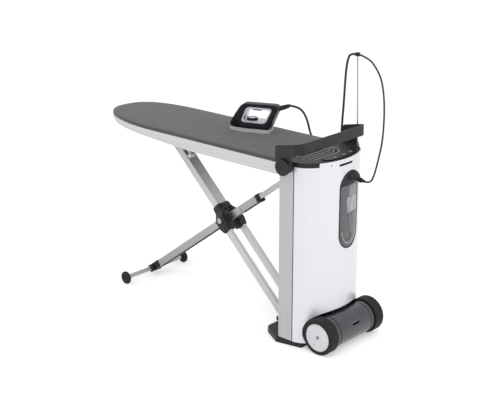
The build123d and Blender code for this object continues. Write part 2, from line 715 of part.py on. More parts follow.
def board_tray():
    """Moulded tray that closes the board from below and carries the leg rail."""
    tray = extrude(board_plan(-BAND_WALL - 22), DECK_Z - TRAY_Z)
    hollow = Pos(0, 0, TRAY_T) * extrude(board_plan(-BAND_WALL - 25), 100)
    tray = Pos(0, 0, TRAY_Z) * (tray - hollow)
    tray -= block(BOARD_END - MOUTH_DEEP, BOARD_END, -MOUTH_HALF, MOUTH_HALF, TRAY_Z - 1, DECK_Z + 1)
    for y in (-MOUTH_HALF - 3, MOUTH_HALF):
        tray += block(BOARD_END - MOUTH_DEEP, BOARD_END - 26, y, y + 3, TRAY_Z, DECK_Z)
    x = BOARD_END - MOUTH_DEEP
    tray += block(x - 3, x, -MOUTH_HALF - 3, MOUTH_HALF + 3, TRAY_Z, DECK_Z - LEAF_T)
    y = RAIL_HALF + 0.2
    tray -= block(RAIL_FRONT - 0.2, RAIL_BACK + 0.2, -y, y, TRAY_Z - 1, TRAY_Z + TRAY_T + 1)
    return tray


def cover_pad():
    """Padded cover, laid on the deck and over the band's upper edge."""
    pad = extrude(board_plan(COVER_EDGE - 2), COVER_TOP - COVER_BOTTOM)
    pad = Pos(0, 0, COVER_BOTTOM) * pad
    under = Pos(0, 0, DECK_Z + DECK_T) * extrude(board_plan(-BAND_WALL - RUN_GAP), 6)
    pad = pad + under
    pad = fillet(pad.faces().sort_by(Axis.Z)[-1].outer_wire().edges(), 5)
    return pad - block(HINGE_ROOM, 10, -MOUTH_HALF - 2, MOUTH_HALF + 2, DECK_Z, COVER_TOP + 1)


HINGE_ROOM = -36
LEAF_T = 4
KNUCKLE_R = 8
KNUCKLE_IN = 40
KNUCKLE_OUT = 60
HINGE_PIN_R = 4


def hinge_leaf():
    """Steel leaf under the deck's end, with two knuckles round the hinge pin."""
    x, z = HINGE
    leaf = block(x - 130, x - 20, -KNUCKLE_OUT, KNUCKLE_OUT, DECK_Z - LEAF_T, DECK_Z)
    for y in (-KNUCKLE_OUT, KNUCKLE_IN + RUN_GAP):
        wide = KNUCKLE_OUT - KNUCKLE_IN - RUN_GAP
        leaf += rod_y(x, z, KNUCKLE_R, y, y + wide)
        leaf += block(x - KNUCKLE_R, x + KNUCKLE_R, y, y + wide, DECK_Z - LEAF_T, z)
        leaf += block(x - 30, x, y, y + wide, DECK_Z - LEAF_T, DECK_Z)
    leaf -= block(x - 18, x + 20, -KNUCKLE_IN - RUN_GAP, KNUCKLE_IN + RUN_GAP, 700, 900)
    return leaf - rod_y(x, z, HINGE_PIN_R + PIN_GAP, -70, 70)


def leg_rail():
    """Downward channel under the tray, in which the long leg's slider runs."""
    low = RAIL_TOP - RAIL_DEEP
    rail = block(RAIL_FRONT, RAIL_BACK, -RAIL_HALF, RAIL_HALF, low, RAIL_TOP)
    rail -= block(RAIL_FRONT + 3, RAIL_BACK - 3, -RAIL_HALF + 2.5, RAIL_HALF - 2.5, low + 2.5, RAIL_TOP - 3)
    rail -= block(RAIL_FRONT + 3, RAIL_BACK - 3, -LUG_HALF - 1.5, LUG_HALF + 1.5, low - 1, low + 5)
    for x in (RAIL_FRONT, RAIL_BACK - 30):
        for side in (-1, 1):
            y0, y1 = sorted((side * (RAIL_HALF - 1), side * (RAIL_HALF + 14)))
            rail += block(x, x + 30, y0, y1, TRAY_Z - 3, TRAY_Z)
    return rail


RAIL_HALF = 18
RAIL_TOP = 802
RAIL_DEEP = 26
RAIL_FRONT = -862
RAIL_BACK = -562
LUG_HALF = 9


def leg_slider():
    """Plastic slider in the rail with a lug that hangs down to the leg's top pin."""
    x, z = TOP_PIVOT
    low = RAIL_TOP - RAIL_DEEP
    shoe = block(x - 30, x + 30, -RAIL_HALF + 3, RAIL_HALF - 3, low + 3, RAIL_TOP - 3.5)
    lug = block(x - 16, x + 16, -LUG_HALF, LUG_HALF, z, low + 4)
    lug += rod_y(x, z, 16, -LUG_HALF, LUG_HALF)
    return shoe + lug - rod_y(x, z, PIN_R + PIN_GAP, -20, 20)


def top_pin():
    """Pin through the slider's lug, with two thick steel stays inside the leg's channel."""
    x, z = TOP_PIVOT
    pin = rod_y(x, z, PIN_R, -LEG_HALF + 4, LEG_HALF - 4)
    turn = Pos(x, 0, z) * Rot(0, -LEG_A_TURN, 0)
    for side in (-1, 1):
        y0, y1 = sorted((side * (LUG_HALF + RUN_GAP), side * (CHEEK_IN - PIN_GAP)))
        stay = block(-STAY_L, 10, y0, y1, -STAY_H + STAY_LOW, STAY_LOW)
        stay += rod_y(0, 0, PIN_R + 2, y0, y1)
        pin += turn * stay
    return pin


STAY_L = 118
STAY_H = 22
STAY_LOW = 3


# Carriage and mast


def lift_mast():
    """Steel mast in the front column, which rises with the working height."""
    front = COLUMN_FRONT + WALL + SHOE_T + 2 * RUN_GAP
    mast = block(front, MAST_BACK, -MAST_HALF, MAST_HALF, BASE_TOP + 4, RIM_BOTTOM - 12)
    mast -= block(front + 2, MAST_BACK + 1, -MAST_HALF + 2, MAST_HALF - 2, 0, TOWER_TOP)
    return mast


SHOE_T = 4
MAST_BACK = 19
PLATE_BACK = -3
PLATE_FRONT = -11
PIN_ROOM = 2.5
EAR_IN = INNER_HALF + 0.6
EAR_OUT = LEG_B_HALF + 1.8


def carriage():
    """Plate before the column with a shoe on the mast, the board's hinge and a saddle."""
    x, z = HINGE
    qx, qz = TUBE_PIVOT
    low, top = qz - 10, z - 30
    body = block(PLATE_FRONT, PLATE_BACK, -KNUCKLE_IN - 14, KNUCKLE_IN + 14, low, top)
    body += block(PLATE_BACK, COLUMN_FRONT + WALL + RUN_GAP, -SLOT_HALF + 2, SLOT_HALF - 2, low, top)
    inner = COLUMN_FRONT + WALL + RUN_GAP
    body += block(inner, inner + SHOE_T, -MAST_HALF, MAST_HALF, low, top)
    room = qz + PIN_R + PIN_ROOM
    body -= block(PLATE_FRONT - 1, inner + SHOE_T + 1, -EAR_OUT - 1.5, EAR_OUT + 1.5, low - 1, room)
    body += rod_y(x, z, KNUCKLE_R, -KNUCKLE_IN, KNUCKLE_IN)
    body += block(x, PLATE_BACK, -KNUCKLE_IN, KNUCKLE_IN, top - 6, z)
    for side in (-1, 1):
        y0, y1 = sorted((side * EAR_IN, side * EAR_OUT))
        ear = block(qx - PIN_R - 8, PLATE_BACK, y0, y1, qz - 3, room + 10)
        ear -= rod_y(qx, qz, PIN_R + PIN_GAP, y0 - 1, y1 + 1)
        ear -= block(qx - 2, PLATE_BACK, y0 - 1, y1 + 1, qz - 10, room)
        ear -= block(qx - PIN_R - PIN_GAP, qx + 1, y0 - 1, y1 + 1, qz - 10, qz)
        body += ear
    return body - rod_y(x, z, HINGE_PIN_R + PIN_GAP, -70, 70)


def hinge_pin():
    """Steel pin of the board's hinge."""
    x, z = HINGE
    return rod_y(x, z, HINGE_PIN_R, -KNUCKLE_OUT, KNUCKLE_OUT)


# Legs: each is drawn along X about its pivot, then turned into place


def leg_a_place():
    """Frame of the long leg: origin at the cross pivot, X towards the board."""
    return Pos(CROSS[0], 0, CROSS[1]) * Rot(0, -LEG_A_TURN, 0)


def leg_b_place():
    """Frame of the telescopic leg: origin at the cross pivot, X towards the tower."""
    return Pos(CROSS[0], 0, CROSS[1]) * Rot(0, -LEG_B_TURN, 0)


def turn_of(a, b):
    """Angle of the line from a to b above the X axis, in degrees."""
    return degrees(atan2(b[1] - a[1], b[0] - a[0]))


def crossing(a, b, c, d):
    """Where the line from a to b meets the line from c to d."""
    m = (b[1] - a[1]) / (b[0] - a[0])
    n = (d[1] - c[1]) / (d[0] - c[0])
    x = (c[1] - a[1] + m * a[0] - n * c[0]) / (m - n)
    return x, a[1] + m * (x - a[0])


def span(a, b):
    """Distance between two points."""
    return hypot(b[0] - a[0], b[1] - a[1])


CROSS = crossing(BASE_PIVOT, TOP_PIVOT, FOOT, TUBE_PIVOT)
LEG_A_TURN = turn_of(BASE_PIVOT, TOP_PIVOT)
LEG_B_TURN = turn_of(FOOT, TUBE_PIVOT)
TO_TOP = span(CROSS, TOP_PIVOT)
TO_BASE = span(CROSS, BASE_PIVOT)
TO_FOOT = span(CROSS, FOOT)
TO_TUBE_PIN = span(CROSS, TUBE_PIVOT)
CHEEK_IN = LEG_B_HALF + LEG_GAP


def leg_a_upper():
    """Ribbed aluminium channel from the yoke up to the board."""
    d = LEG_DEPTH / 2
    x0, x1 = YOKE_UP - 30, TO_TOP
    leg = block(x0, x1, -LEG_HALF, LEG_HALF, -d, d)
    leg += rod_y(x1, 0, d, -LEG_HALF, LEG_HALF)
    leg -= block(x0 - 1, x1 + d + 1, -CHEEK_IN, CHEEK_IN, -d - 1, d + 1)
    web = block(x0, x1 - WEB_SHORT, -CHEEK_IN, CHEEK_IN, -d, -d + 3)
    for side in (-1, 1):
        y0, y1 = sorted((side * (CHEEK_IN + 3), side * (LEG_HALF - 3)))
        leg -= block(x0 - 1, x1 - WEB_SHORT, y0, y1, -d + 3, d - 3)
    leg += web
    for n in range(LEG_RIBS):
        y = (n - (LEG_RIBS - 1) / 2) * 2 * LEG_HALF / LEG_RIBS
        leg -= block(x0 + 20, x1 - 40, y - 2, y + 2, -d - 1, -d + 1.2)
    for z in (-12, 0, 12):
        for side in (-1, 1):
            y0, y1 = sorted((side * (LEG_HALF - 1.2), side * (LEG_HALF + 1)))
            leg -= block(x0 + 20, x1 - 40, y0, y1, z - 1.6, z + 1.6)
    return leg_a_place() * (leg - rod_y(TO_TOP, 0, PIN_R + PIN_GAP, -LEG_HALF - 1, LEG_HALF + 1))


YOKE_UP = 78
YOKE_DOWN = 82
WEB_SHORT = 136
LEG_RIBS = 5


def cross_yoke():
    """Black moulded yoke that joins the long leg's halves and lets the tube through."""
    d = LEG_DEPTH / 2 + 6
    for side in (-1, 1):
        y0, y1 = sorted((side * CHEEK_IN, side * (LEG_HALF + 5)))
        cheek = slab_y(
            Polygon(
                (-YOKE_DOWN, -d + 12),
                (-36, -d - 2),
                (30, -d - 2),
                (YOKE_UP, -d + 6),
                (YOKE_UP, d - 8),
                (30, d + 2),
                (-36, d + 2),
                (-YOKE_DOWN, d - 12),
                align=None,
            ),
            y0,
            y1,
        )
        yoke = cheek if side < 0 else yoke + cheek
    yoke += block(46, YOKE_UP, -CHEEK_IN, CHEEK_IN, -d + 2, -d + 9)
    yoke += block(-YOKE_DOWN, -56, -CHEEK_IN, CHEEK_IN, d - 12, d - 6)
    x0, x1 = YOKE_UP - 31, YOKE_UP + 1
    s = LEG_DEPTH / 2 + 0.2
    yoke -= block(x0, x1, -LEG_HALF - 0.2, LEG_HALF + 0.2, -s, s)
    yoke -= block(-YOKE_DOWN - 1, -YOKE_DOWN + 31, -LEG_HALF - 0.2, LEG_HALF + 0.2, -s, s - 4)
    return leg_a_place() * (yoke - rod_y(0, 0, PIN_R + PIN_GAP, -80, 80))


def leg_a_rails():
    """Two flat aluminium rails from the yoke down to the base plate."""
    d = LEG_DEPTH / 2
    rails = []
    for side in (-1, 1):
        y0, y1 = sorted((side * CHEEK_IN, side * LEG_HALF))
        rail = block(-TO_BASE, -YOKE_DOWN + 30, y0, y1, -d, d - 4)
        rail += rod_y(-TO_BASE, 0, d - 4, y0, y1)
        rail -= block(-TO_BASE + 60, -YOKE_DOWN + 31, y0 + 3, y1 - 3, -d + 3, d - 7)
        edge = y1 if side > 0 else y0
        for z in (-14, 0, 10):
            groove = block(-TO_BASE + 30, -YOKE_DOWN - 10, edge - 1.2, edge + 1.2, z - 1.6, z + 1.6)
            rail -= groove
        rail -= rod_y(-TO_BASE, 0, PIN_R + PIN_GAP, y0 - 1, y1 + 1)
        rails.append(leg_a_place() * rail)
    return rails


def foot_pin():
    """Pin through the feet of the two rails, which rests in the base plate's saddles."""
    x, z = BASE_PIVOT
    return rod_y(x, z, PIN_R, -POCKET_HALF - 13, POCKET_HALF + 13)


def cross_pin():
    """Pin through the yoke and the tube, with flat heads and two straps beside the tube."""
    out = LEG_HALF + 5
    pin = rod_y(0, 0, PIN_R, -out - 4, out + 4)
    for side in (-1, 1):
        y0, y1 = sorted((side * (out + 0.5), side * (out + 4)))
        pin += rod_y(0, 0, PIN_R + 6, y0, y1)
        y0, y1 = sorted((side * (LEG_B_HALF + PIN_GAP), side * (CHEEK_IN - PIN_GAP)))
        strap = block(-STRAP_L, STRAP_L, y0, y1, -STRAP_H / 2, STRAP_H / 2)
        for z in (-7, 7):
            y2, y3 = sorted((side * (CHEEK_IN - PIN_GAP - 0.8), side * CHEEK_IN))
            strap -= block(-STRAP_L - 1, -PIN_R - 12, y2, y3, z - 1.5, z + 1.5)
            strap -= block(PIN_R + 12, STRAP_L + 1, y2, y3, z - 1.5, z + 1.5)
        pin += Rot(0, -LEG_B_TURN, 0) * strap
    return Pos(CROSS[0], 0, CROSS[1]) * pin


STRAP_L = 112
STRAP_H = 30


def leg_tube_outer():
    """Ribbed box tube from the foot through the yoke to the clamping collar."""
    d = LEG_B_DEPTH / 2
    tube = block(-TO_FOOT + FOOT_END, COLLAR_AT, -LEG_B_HALF, LEG_B_HALF, -d, d)
    w = TUBE_WALL
    bore = block(-TO_FOOT + FOOT_END + 20, COLLAR_AT + 1, -LEG_B_HALF + w, LEG_B_HALF - w, -d + w, d - w)
    tube -= bore
    for z in (-7, 7):
        for side in (-1, 1):
            y0, y1 = sorted((side * (LEG_B_HALF - 1), side * (LEG_B_HALF + 1)))
            tube -= block(-TO_FOOT + FOOT_END + 10, COLLAR_AT - 10, y0, y1, z - 1.5, z + 1.5)
    return leg_b_place() * (tube - rod_y(0, 0, PIN_R + PIN_GAP, -60, 60))


FOOT_END = 46
COLLAR_L = 44
STRIP_T = 4


def leg_strip():
    """Black guard strip along the tube's underside."""
    d = LEG_B_DEPTH / 2
    strip = block(-TO_FOOT + FOOT_END + 12, -90, -9, 9, -d - STRIP_T, -d)
    return leg_b_place() * strip


def tube_collar():
    """Black clamping collar on the tube's upper end."""
    d = LEG_B_DEPTH / 2
    x0, x1 = COLLAR_AT - COLLAR_L + 12, COLLAR_AT + 12
    collar = block(x0, x1, -LEG_B_HALF - 2, LEG_B_HALF + 2, -d - 7, d + 4)
    collar = fillet(collar.edges().filter_by(Axis.X), 3)
    collar -= block(x0 - 1, COLLAR_AT, -LEG_B_HALF, LEG_B_HALF, -d, d)
    clear = RUN_GAP / 2
    inner = INNER_DEPTH / 2 + clear
    collar -= block(x0, x1 + 1, -INNER_HALF - clear, INNER_HALF + clear, -inner, inner)
    return leg_b_place() * collar


def tube_shuttle():
    """Plastic glide between the two tubes, which the inner tube also slides in."""
    y, z = LEG_B_HALF - TUBE_WALL - PIN_GAP, LEG_B_DEPTH / 2 - TUBE_WALL - PIN_GAP
    glide = block(INNER_START + 2, INNER_START + 16, -y, y, -z, z)
    clear = PIN_GAP
    bore_z = INNER_DEPTH / 2 + clear
    glide -= block(INNER_START, INNER_START + 20, -INNER_HALF - clear, INNER_HALF + clear, -bore_z, bore_z)
    return leg_b_place() * glide


def leg_tube_inner():
    """Slim tube that slides out of the collar and ends in a pin at the carriage."""
    z = INNER_DEPTH / 2
    tube = block(INNER_START, TO_TUBE_PIN, -INNER_HALF, INNER_HALF, -z, z)
    tube += rod_y(TO_TUBE_PIN, 0, z, -INNER_HALF, INNER_HALF)
    tube -= block(INNER_START - 1, TO_TUBE_PIN - 30, -INNER_HALF + 2, INNER_HALF - 2, -z + 2, z - 2)
    return leg_b_place() * (tube - rod_y(TO_TUBE_PIN, 0, PIN_R, -40, 40))


def tube_pin():
    """Pin across the inner tube's end, which rests in the carriage's saddle."""
    x, z = TUBE_PIVOT
    return rod_y(x, z, PIN_R, -EAR_OUT, EAR_OUT)


def foot_joint():
    """Black tee that joins the tube to the crossbar, with the end cap behind it."""
    d = LEG_B_DEPTH / 2
    tee = block(-TO_FOOT, -TO_FOOT + FOOT_END + 16, -LEG_B_HALF - 2, LEG_B_HALF + 2, -d, d + 2)
    tee -= block(-TO_FOOT + FOOT_END, -TO_FOOT + 90, -LEG_B_HALF, LEG_B_HALF, -d - STRIP_T, d)
    tee = leg_b_place() * tee
    x, z = FOOT
    tee += rod_y(x, z, CROSSBAR_R + 8, -30, 30)
    return tee - rod_y(x, z, CROSSBAR_R, -31, 31)


def foot_crossbar():
    """Chromed tube across the foot."""
    x, z = FOOT
    bar = rod_y(x, z, CROSSBAR_R, -CROSSBAR_HALF, CROSSBAR_HALF)
    return bar - rod_y(x, z, CROSSBAR_R - 2, -CROSSBAR_HALF - 1, CROSSBAR_HALF + 1)


def foot_disc(side):
    """Rubber disc on the crossbar's end, with its plug inside the tube."""
    x, z = FOOT
    disc = rod_y(x, z, FOOT_R, -CROSSBAR_HALF - FOOT_T, -CROSSBAR_HALF)
    disc = fillet(disc.edges().filter_by(GeomType.CIRCLE), 3)
    disc += rod_y(x, z, CROSSBAR_R - 2, -CROSSBAR_HALF, -CROSSBAR_HALF + 24)
    return disc if side < 0 else mirror_y(disc)


# Iron, drawn with its tip at minus X, then turned and set on the board


def iron_place():
    """Frame of the iron: origin on the cover, X towards the heel."""
    return Pos(IRON_AT[0], IRON_AT[1], COVER_TOP + 0.3) * Rot(0, 0, IRON_TURN)


def sole_plan(grow):
    """Pointed oval of the soleplate."""
    half, wide = IRON_L / 2, IRON_W / 2 + grow
    nose = Ellipse(half * 1.25 + grow, wide) & Pos(-200, 0) * Rectangle(400, 400)
    tail = RectangleRounded(2 * (half * 0.75 + grow), 2 * wide, 18)
    tail &= Pos(200, 0) * Rectangle(400, 400)
    return Pos(half * 0.25, 0) * (nose + tail)


def iron_sole():
    """Bright soleplate, its lower edge rounded off."""
    sole = extrude(sole_plan(0), SOLE_T)
    return iron_place() * sole


def iron_body():
    """Black body with a closed handle and an open window through it."""
    base = Pos(0, 0, SOLE_T) * extrude(sole_plan(-4), 200)
    side = Polygon(
        (-IRON_L / 2 - 8, SOLE_T),
        (-IRON_L / 2 + 34, IRON_H - 8),
        (-IRON_L / 2 + 50, IRON_H),
        (IRON_L / 2 - 34, IRON_H - 2),
        (IRON_L / 2 - 16, IRON_H - 12),
        (IRON_L / 2 + 8, SOLE_T),
        align=None,
    )
    body = base & slab_y(side, -90, 90)
    top = slab_y(side, -GRIP_HALF, GRIP_HALF) - block(-200, 200, -90, 90, 0, WAIST)
    body = (body & block(-200, 200, -90, 90, 0, WAIST + 8)) + (base & top)
    body -= slab_y(window_plan(0), -90, 90)
    body -= Pos(BUTTON_X, 0, IRON_H - 26) * Cylinder(BUTTON_STEM + PIN_GAP, 16)
    body -= gland_place() * Cylinder(GLAND_R + PIN_GAP, GLAND_L + 8)
    return iron_place() * body


GRIP_HALF = 24
WAIST = 34


def window_plan(grow):
    """Opening under the handle, seen from the side."""
    plan = Polygon(
        (-IRON_L / 2 + 52 - grow, WAIST + 16 - grow),
        (-IRON_L / 2 + 64 - grow, IRON_H - 26 + grow),
        (IRON_L / 2 - 46 + grow, IRON_H - 30 + grow),
        (IRON_L / 2 - 36 + grow, WAIST + 16 - grow),
        align=None,
    )
    return fillet(plan.vertices(), 10 + grow)


def iron_bezels():
    """Pale frames round both sides of the window."""
    rings = []
    for y0, y1 in ((-GRIP_HALF - 2.5, -GRIP_HALF), (GRIP_HALF, GRIP_HALF + 2.5)):
        ring = window_plan(8) - window_plan(0)
        rings.append(iron_place() * slab_y(ring, y0, y1))
    return rings


def iron_button():
    """Oval steam button under the handle."""
    stem = Pos(BUTTON_X, 0, IRON_H - 28) * Cylinder(BUTTON_STEM, 12)
    pad = Pos(BUTTON_X, 0, IRON_H - 38) * extrude(Ellipse(22, 9), 5)
    return iron_place() * (pad + stem)


def iron_gland():
    """Tapered strain relief at the heel, where the steam hose leaves the iron."""
    return iron_place() * gland_place() * Cone(GLAND_R, BRAID_R + 1.5, GLAND_L)


GLAND_L = 46
GLAND_R = 9
BUTTON_X = -4
BUTTON_STEM = 6


def gland_place(along=0):
    """Frame of the strain relief, with Z along it, away from the iron."""
    return Pos(IRON_L / 2 - 16 + GLAND_L / 2 + along, 0, IRON_H - 24) * Rot(0, 90, 0)


def gland_end():
    """Where the hose leaves the iron's strain relief."""
    p = (iron_place() * gland_place(GLAND_L / 2 + 0.4)).position
    return (p.X, p.Y, p.Z)


# Steam hose: a smooth loop from the plug up to the clip, and a braided
# stretch that hangs behind the board and climbs over its edge to the iron


def hose_loop_route():
    """Points of the hose from its plug to the clip on the rod."""
    x, y, z = ROD_HEAD
    return [
        plug_end(),
        (276.5, 60.3, 731.8),
        (291, 63, 739),
        (301, 66.5, 760),
        (309, 72, 798),
        (316, 80, 850),
        (321, 94, 915),
        (304, 124, 1020),
        (280, 148, 1100),
        (250, 167, 1157),
        (210, 182, 1196),
        (160, 200, 1224),
        (x + CLIP_HALF + 0.9, y, z),
    ]


def hose_braid_route():
    """Points of the hose from the iron to the clip on the rod."""
    x, y, z = ROD_HEAD
    return [
        gland_end(),
        (-234, 211, 938),
        (-215, 225, 924),
        (-197, 232, 885),
        (-183, 236, 829),
        (-160, 241, 776),
        (-118, 246, 742),
        (-66, 249, 738),
        (-28, 250, 772),
        (-15, 249, 830),
        (-10, 245, 898),
        (-2, 242, 975),
        (5, 238, 1050),
        (10, 236, 1122),
        (18, 232, 1172),
        (30, 226, 1204),
        (52, 211, 1228),
        (x - CLIP_HALF - 0.9, y, z),
    ]


CLIP_HALF = 9


def hose(name, points, radius):
    """A tube along a route of straight runs and tangent arcs; prints its figures."""
    points = [Vector(*p) for p in points]
    radii = []
    for a, b, c in zip(points, points[1:], points[2:]):
        turn = radians((b - a).get_angle(c - b))
        shorter = min((b - a).length, (c - b).length)
        radii.append(0.45 * shorter / tan(turn / 2))
    path = FilletPolyline(*points, radius=radii)
    way = path % 0
    tube = sweep(Plane(origin=points[0], z_dir=way) * Circle(radius), path=path)
    print(name, "radii", [round(r) for r in radii], "length", round(path.length))
    print(name, "volume over section", round(tube.volume / (3.14159265 * radius**2)))
    return tube


def sides(make):
    """The near and the far copy of a piece."""
    return make(-1), make(1)


def main():
    near_tyre, far_tyre = sides(tyre)
    near_hub, far_hub = sides(wheel_hub)
    near_knob, far_knob = sides(hub_knob)
    bottle, cartridge = tank_parts()
    single = {
        "front_column": front_column(),
        "body_shell": body_shell(),
        "top_cover": tower_top(),
        "control_panel": control_panel(),
        "tank_recess": tank_recess(),
        "water_tank": bottle,
        "bow_handle": bow_handle(),
        "near_hub_knob": near_knob,
        "far_hub_knob": far_knob,
        "wheel_fender": wheel_fender(),
        "axle": axle(),
        "near_tyre": near_tyre,
        "far_tyre": far_tyre,
        "near_wheel_hub": near_hub,
        "far_wheel_hub": far_hub,
        "boiler": boiler(),
        "pump": pump(),
        "power_board": power_board(),
        "fan_housing": fan_housing(),
        "fan_impeller": fan_impeller(),
        "hose_socket": hose_socket(),
        "hose_plug": hose_plug(),
        "rod_socket": rod_socket(),
        "hose_rod": hose_rod(),
        "hose_clip": hose_clip(),
        "board_band": board_band(),
        "board_tray": board_tray(),
        "cover_pad": cover_pad(),
        "leg_rail": leg_rail(),
        "leg_slider": leg_slider(),
        "top_pin": top_pin(),
        "lift_mast": lift_mast(),
        "leg_a_upper": leg_a_upper(),
        "cross_yoke": cross_yoke(),
        "cross_pin": cross_pin(),
        "leg_tube_outer": leg_tube_outer(),
        "leg_strip": leg_strip(),
        "tube_collar": tube_collar(),
        "tube_shuttle": tube_shuttle(),
        "foot_joint": foot_joint(),
        "foot_crossbar": foot_crossbar(),
        "iron_sole": iron_sole(),
        "iron_body": iron_body(),
        "iron_button": iron_button(),
        "iron_gland": iron_gland(),
        "hose_loop": hose("hose_loop", hose_loop_route(), HOSE_R),
        "hose_braid": hose("hose_braid", hose_braid_route(), BRAID_R),
    }
    for name, solid in single.items():
        save(name, solid)
    for n in range(KEYS):
        save(f"key_{n + 1}", key(n))
    save("base_plate", base_plate(), *leg_cradles())
    save("seam_strips", *seam_strips())
    save("inner_frame", inner_frame(), *sides(wheel_arm))
    save("tank_fittings", cartridge, tank_cap())
    save("board_deck", board_deck(), hinge_leaf())
    save("carriage", carriage(), hinge_pin())
    save("leg_a_rails", *leg_a_rails(), foot_pin())
    save("leg_tube_inner", leg_tube_inner(), tube_pin())
    save("iron_bezels", *iron_bezels())
    save("foot_discs", *sides(foot_disc))


main()
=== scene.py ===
# %% [markdown]
# # A steam ironing system
# A wheeled steam tower carries a folding ironing board on crossed legs, a bow
# handle, a steam iron and its hose on a thin rod. The exact parts arrive as a
# fixed model in metres, +Z up, with the board's tip towards minus X. This
# lesson dresses them: it gives every part its finish, adds the soft cover and
# the hose, and sets up a plain studio.

# %% Load the model
import math

import bmesh
import bpy
from mathutils import Matrix, Vector


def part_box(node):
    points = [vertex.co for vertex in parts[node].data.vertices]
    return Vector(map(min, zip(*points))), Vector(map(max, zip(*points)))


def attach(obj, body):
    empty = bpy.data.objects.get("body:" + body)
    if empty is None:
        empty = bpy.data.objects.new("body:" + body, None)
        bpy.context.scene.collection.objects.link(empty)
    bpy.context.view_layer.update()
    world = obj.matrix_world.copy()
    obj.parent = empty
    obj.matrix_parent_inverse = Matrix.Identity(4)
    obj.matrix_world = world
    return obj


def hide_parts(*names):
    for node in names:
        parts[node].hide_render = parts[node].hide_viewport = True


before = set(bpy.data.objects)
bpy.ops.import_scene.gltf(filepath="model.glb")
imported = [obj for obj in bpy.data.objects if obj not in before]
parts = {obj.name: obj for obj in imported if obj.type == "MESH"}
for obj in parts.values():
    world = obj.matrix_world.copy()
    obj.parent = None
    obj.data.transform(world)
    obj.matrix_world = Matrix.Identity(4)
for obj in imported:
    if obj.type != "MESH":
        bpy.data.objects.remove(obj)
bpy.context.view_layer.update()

# %% [markdown]
# ## Colours and nodes
# Colours are picked as the eye sees them, so they are written as sRGB hex and
# turned to linear values once, here. A shader tree is built with one helper
# that adds a node, sets its values and joins its inputs, so each finish below
# reads as a short list.


# %% Helpers for materials
def linear(code):
    """The linear colour of an sRGB hex code."""
    values = [int(code[i : i + 2], 16) / 255 for i in (0, 2, 4)]
    return [*(v / 12.92 if v <= 0.04045 else ((v + 0.055) / 1.055) ** 2.4 for v in values), 1]


def add(tree, kind, settings=None, **inputs):
    """Adds a node, sets its own settings, and gives its inputs a value or a link."""
    new = tree.nodes.new(kind)
    for name, value in (settings or {}).items():
        setattr(new, name, value)
    for name, value in inputs.items():
        socket = new.inputs[int(name[1:])] if name[0] == "_" else new.inputs[name.replace("_", " ")]
        if isinstance(value, bpy.types.NodeSocket):
            tree.links.new(value, socket)
        else:
            socket.default_value = value
    return new


def finish(name, colour, roughness, metallic=0.0, **sockets):
    """A material with one principled shader. Returns it, its tree and the shader."""
    material = bpy.data.materials.new(name)
    material.use_nodes = True
    tree = material.node_tree
    shader = tree.nodes["Principled BSDF"]
    shader.inputs["Base Color"].default_value = linear(colour)
    shader.inputs["Roughness"].default_value = roughness
    shader.inputs["Metallic"].default_value = metallic
    for socket, value in sockets.items():
        shader.inputs[socket.replace("_", " ")].default_value = value
    material.diffuse_color = linear(colour)
    return material, tree, shader


def place(tree):
    """Position on the part itself, in metres, so that a pattern moves with it."""
    return add(tree, "ShaderNodeTexCoord").outputs["Object"]


def grain(tree, size_mm, stretch=(1, 1, 1), detail=2.0):
    """Noise whose cells are about size_mm across, drawn out along an axis by stretch."""
    scaled = add(tree, "ShaderNodeMapping", Vector=place(tree), Scale=stretch)
    noise = add(tree, "ShaderNodeTexNoise", Vector=scaled.outputs[0], Scale=1000 / size_mm, Detail=detail)
    return noise.outputs["Fac"]


def roughen(tree, shader, height, depth_mm, strength=1.0):
    """Bumps the surface by a height pattern that is depth_mm deep."""
    bump = add(tree, "ShaderNodeBump", Strength=strength, Distance=depth_mm / 1000, Height=height)
    tree.links.new(bump.outputs[0], shader.inputs["Normal"])


def vary(tree, shader, pattern, low, high, socket="Roughness"):
    """Lets a pattern move a socket between two values."""
    spread = add(
        tree, "ShaderNodeMapRange", Value=pattern, From_Min=0.3, From_Max=0.7, To_Min=low, To_Max=high
    )
    tree.links.new(spread.outputs[0], shader.inputs[socket])


def tint(tree, shader, pattern, dark, pale, low=0.35, high=0.65):
    """Lets a pattern move the colour between two hex codes."""
    ramp = add(tree, "ShaderNodeValToRGB", _0=pattern)
    ramp.color_ramp.elements[0].position = low
    ramp.color_ramp.elements[0].color = linear(dark)
    ramp.color_ramp.elements[1].position = high
    ramp.color_ramp.elements[1].color = linear(pale)
    tree.links.new(ramp.outputs[0], shader.inputs["Base Color"])


print("helpers ready")

# %% [markdown]
# ## Painted and moulded plastics
# The curved housing and the board's side band are ABS with a satin silver
# lacquer: near white, with fine flake under a clear coat. The black and
# charcoal parts are moulded ABS and nylon, spark-eroded to a fine matt grain
# of about half a millimetre, which spreads each highlight.

# %% Silver lacquer and moulded plastics
silver_lacquer, tree, shader = finish("satin silver lacquer", "E3E2E7", 0.34, 0.25, Coat_Weight=0.25)
tint(tree, shader, grain(tree, 0.8), "DEDDE3", "E8E7EC")
roughen(tree, shader, grain(tree, 2.5), 0.02, 0.3)

black_abs, tree, shader = finish("black moulded ABS", "161618", 0.5, Specular_IOR_Level=0.35)
tint(tree, shader, grain(tree, 30), "131315", "1B1B1E")
roughen(tree, shader, grain(tree, 0.8), 0.05, 0.5)

charcoal_abs, tree, shader = finish("charcoal moulded ABS", "1E1D23", 0.46, Specular_IOR_Level=0.35)
tint(tree, shader, grain(tree, 40), "1B1A20", "25242A")
roughen(tree, shader, grain(tree, 0.9), 0.05, 0.4)

fender_abs, tree, shader = finish("dark grey satin ABS", "34333A", 0.26, Coat_Weight=0.3, Coat_Roughness=0.2)
tint(tree, shader, grain(tree, 50), "303037", "3A3940")
roughen(tree, shader, grain(tree, 1.2), 0.03, 0.3)

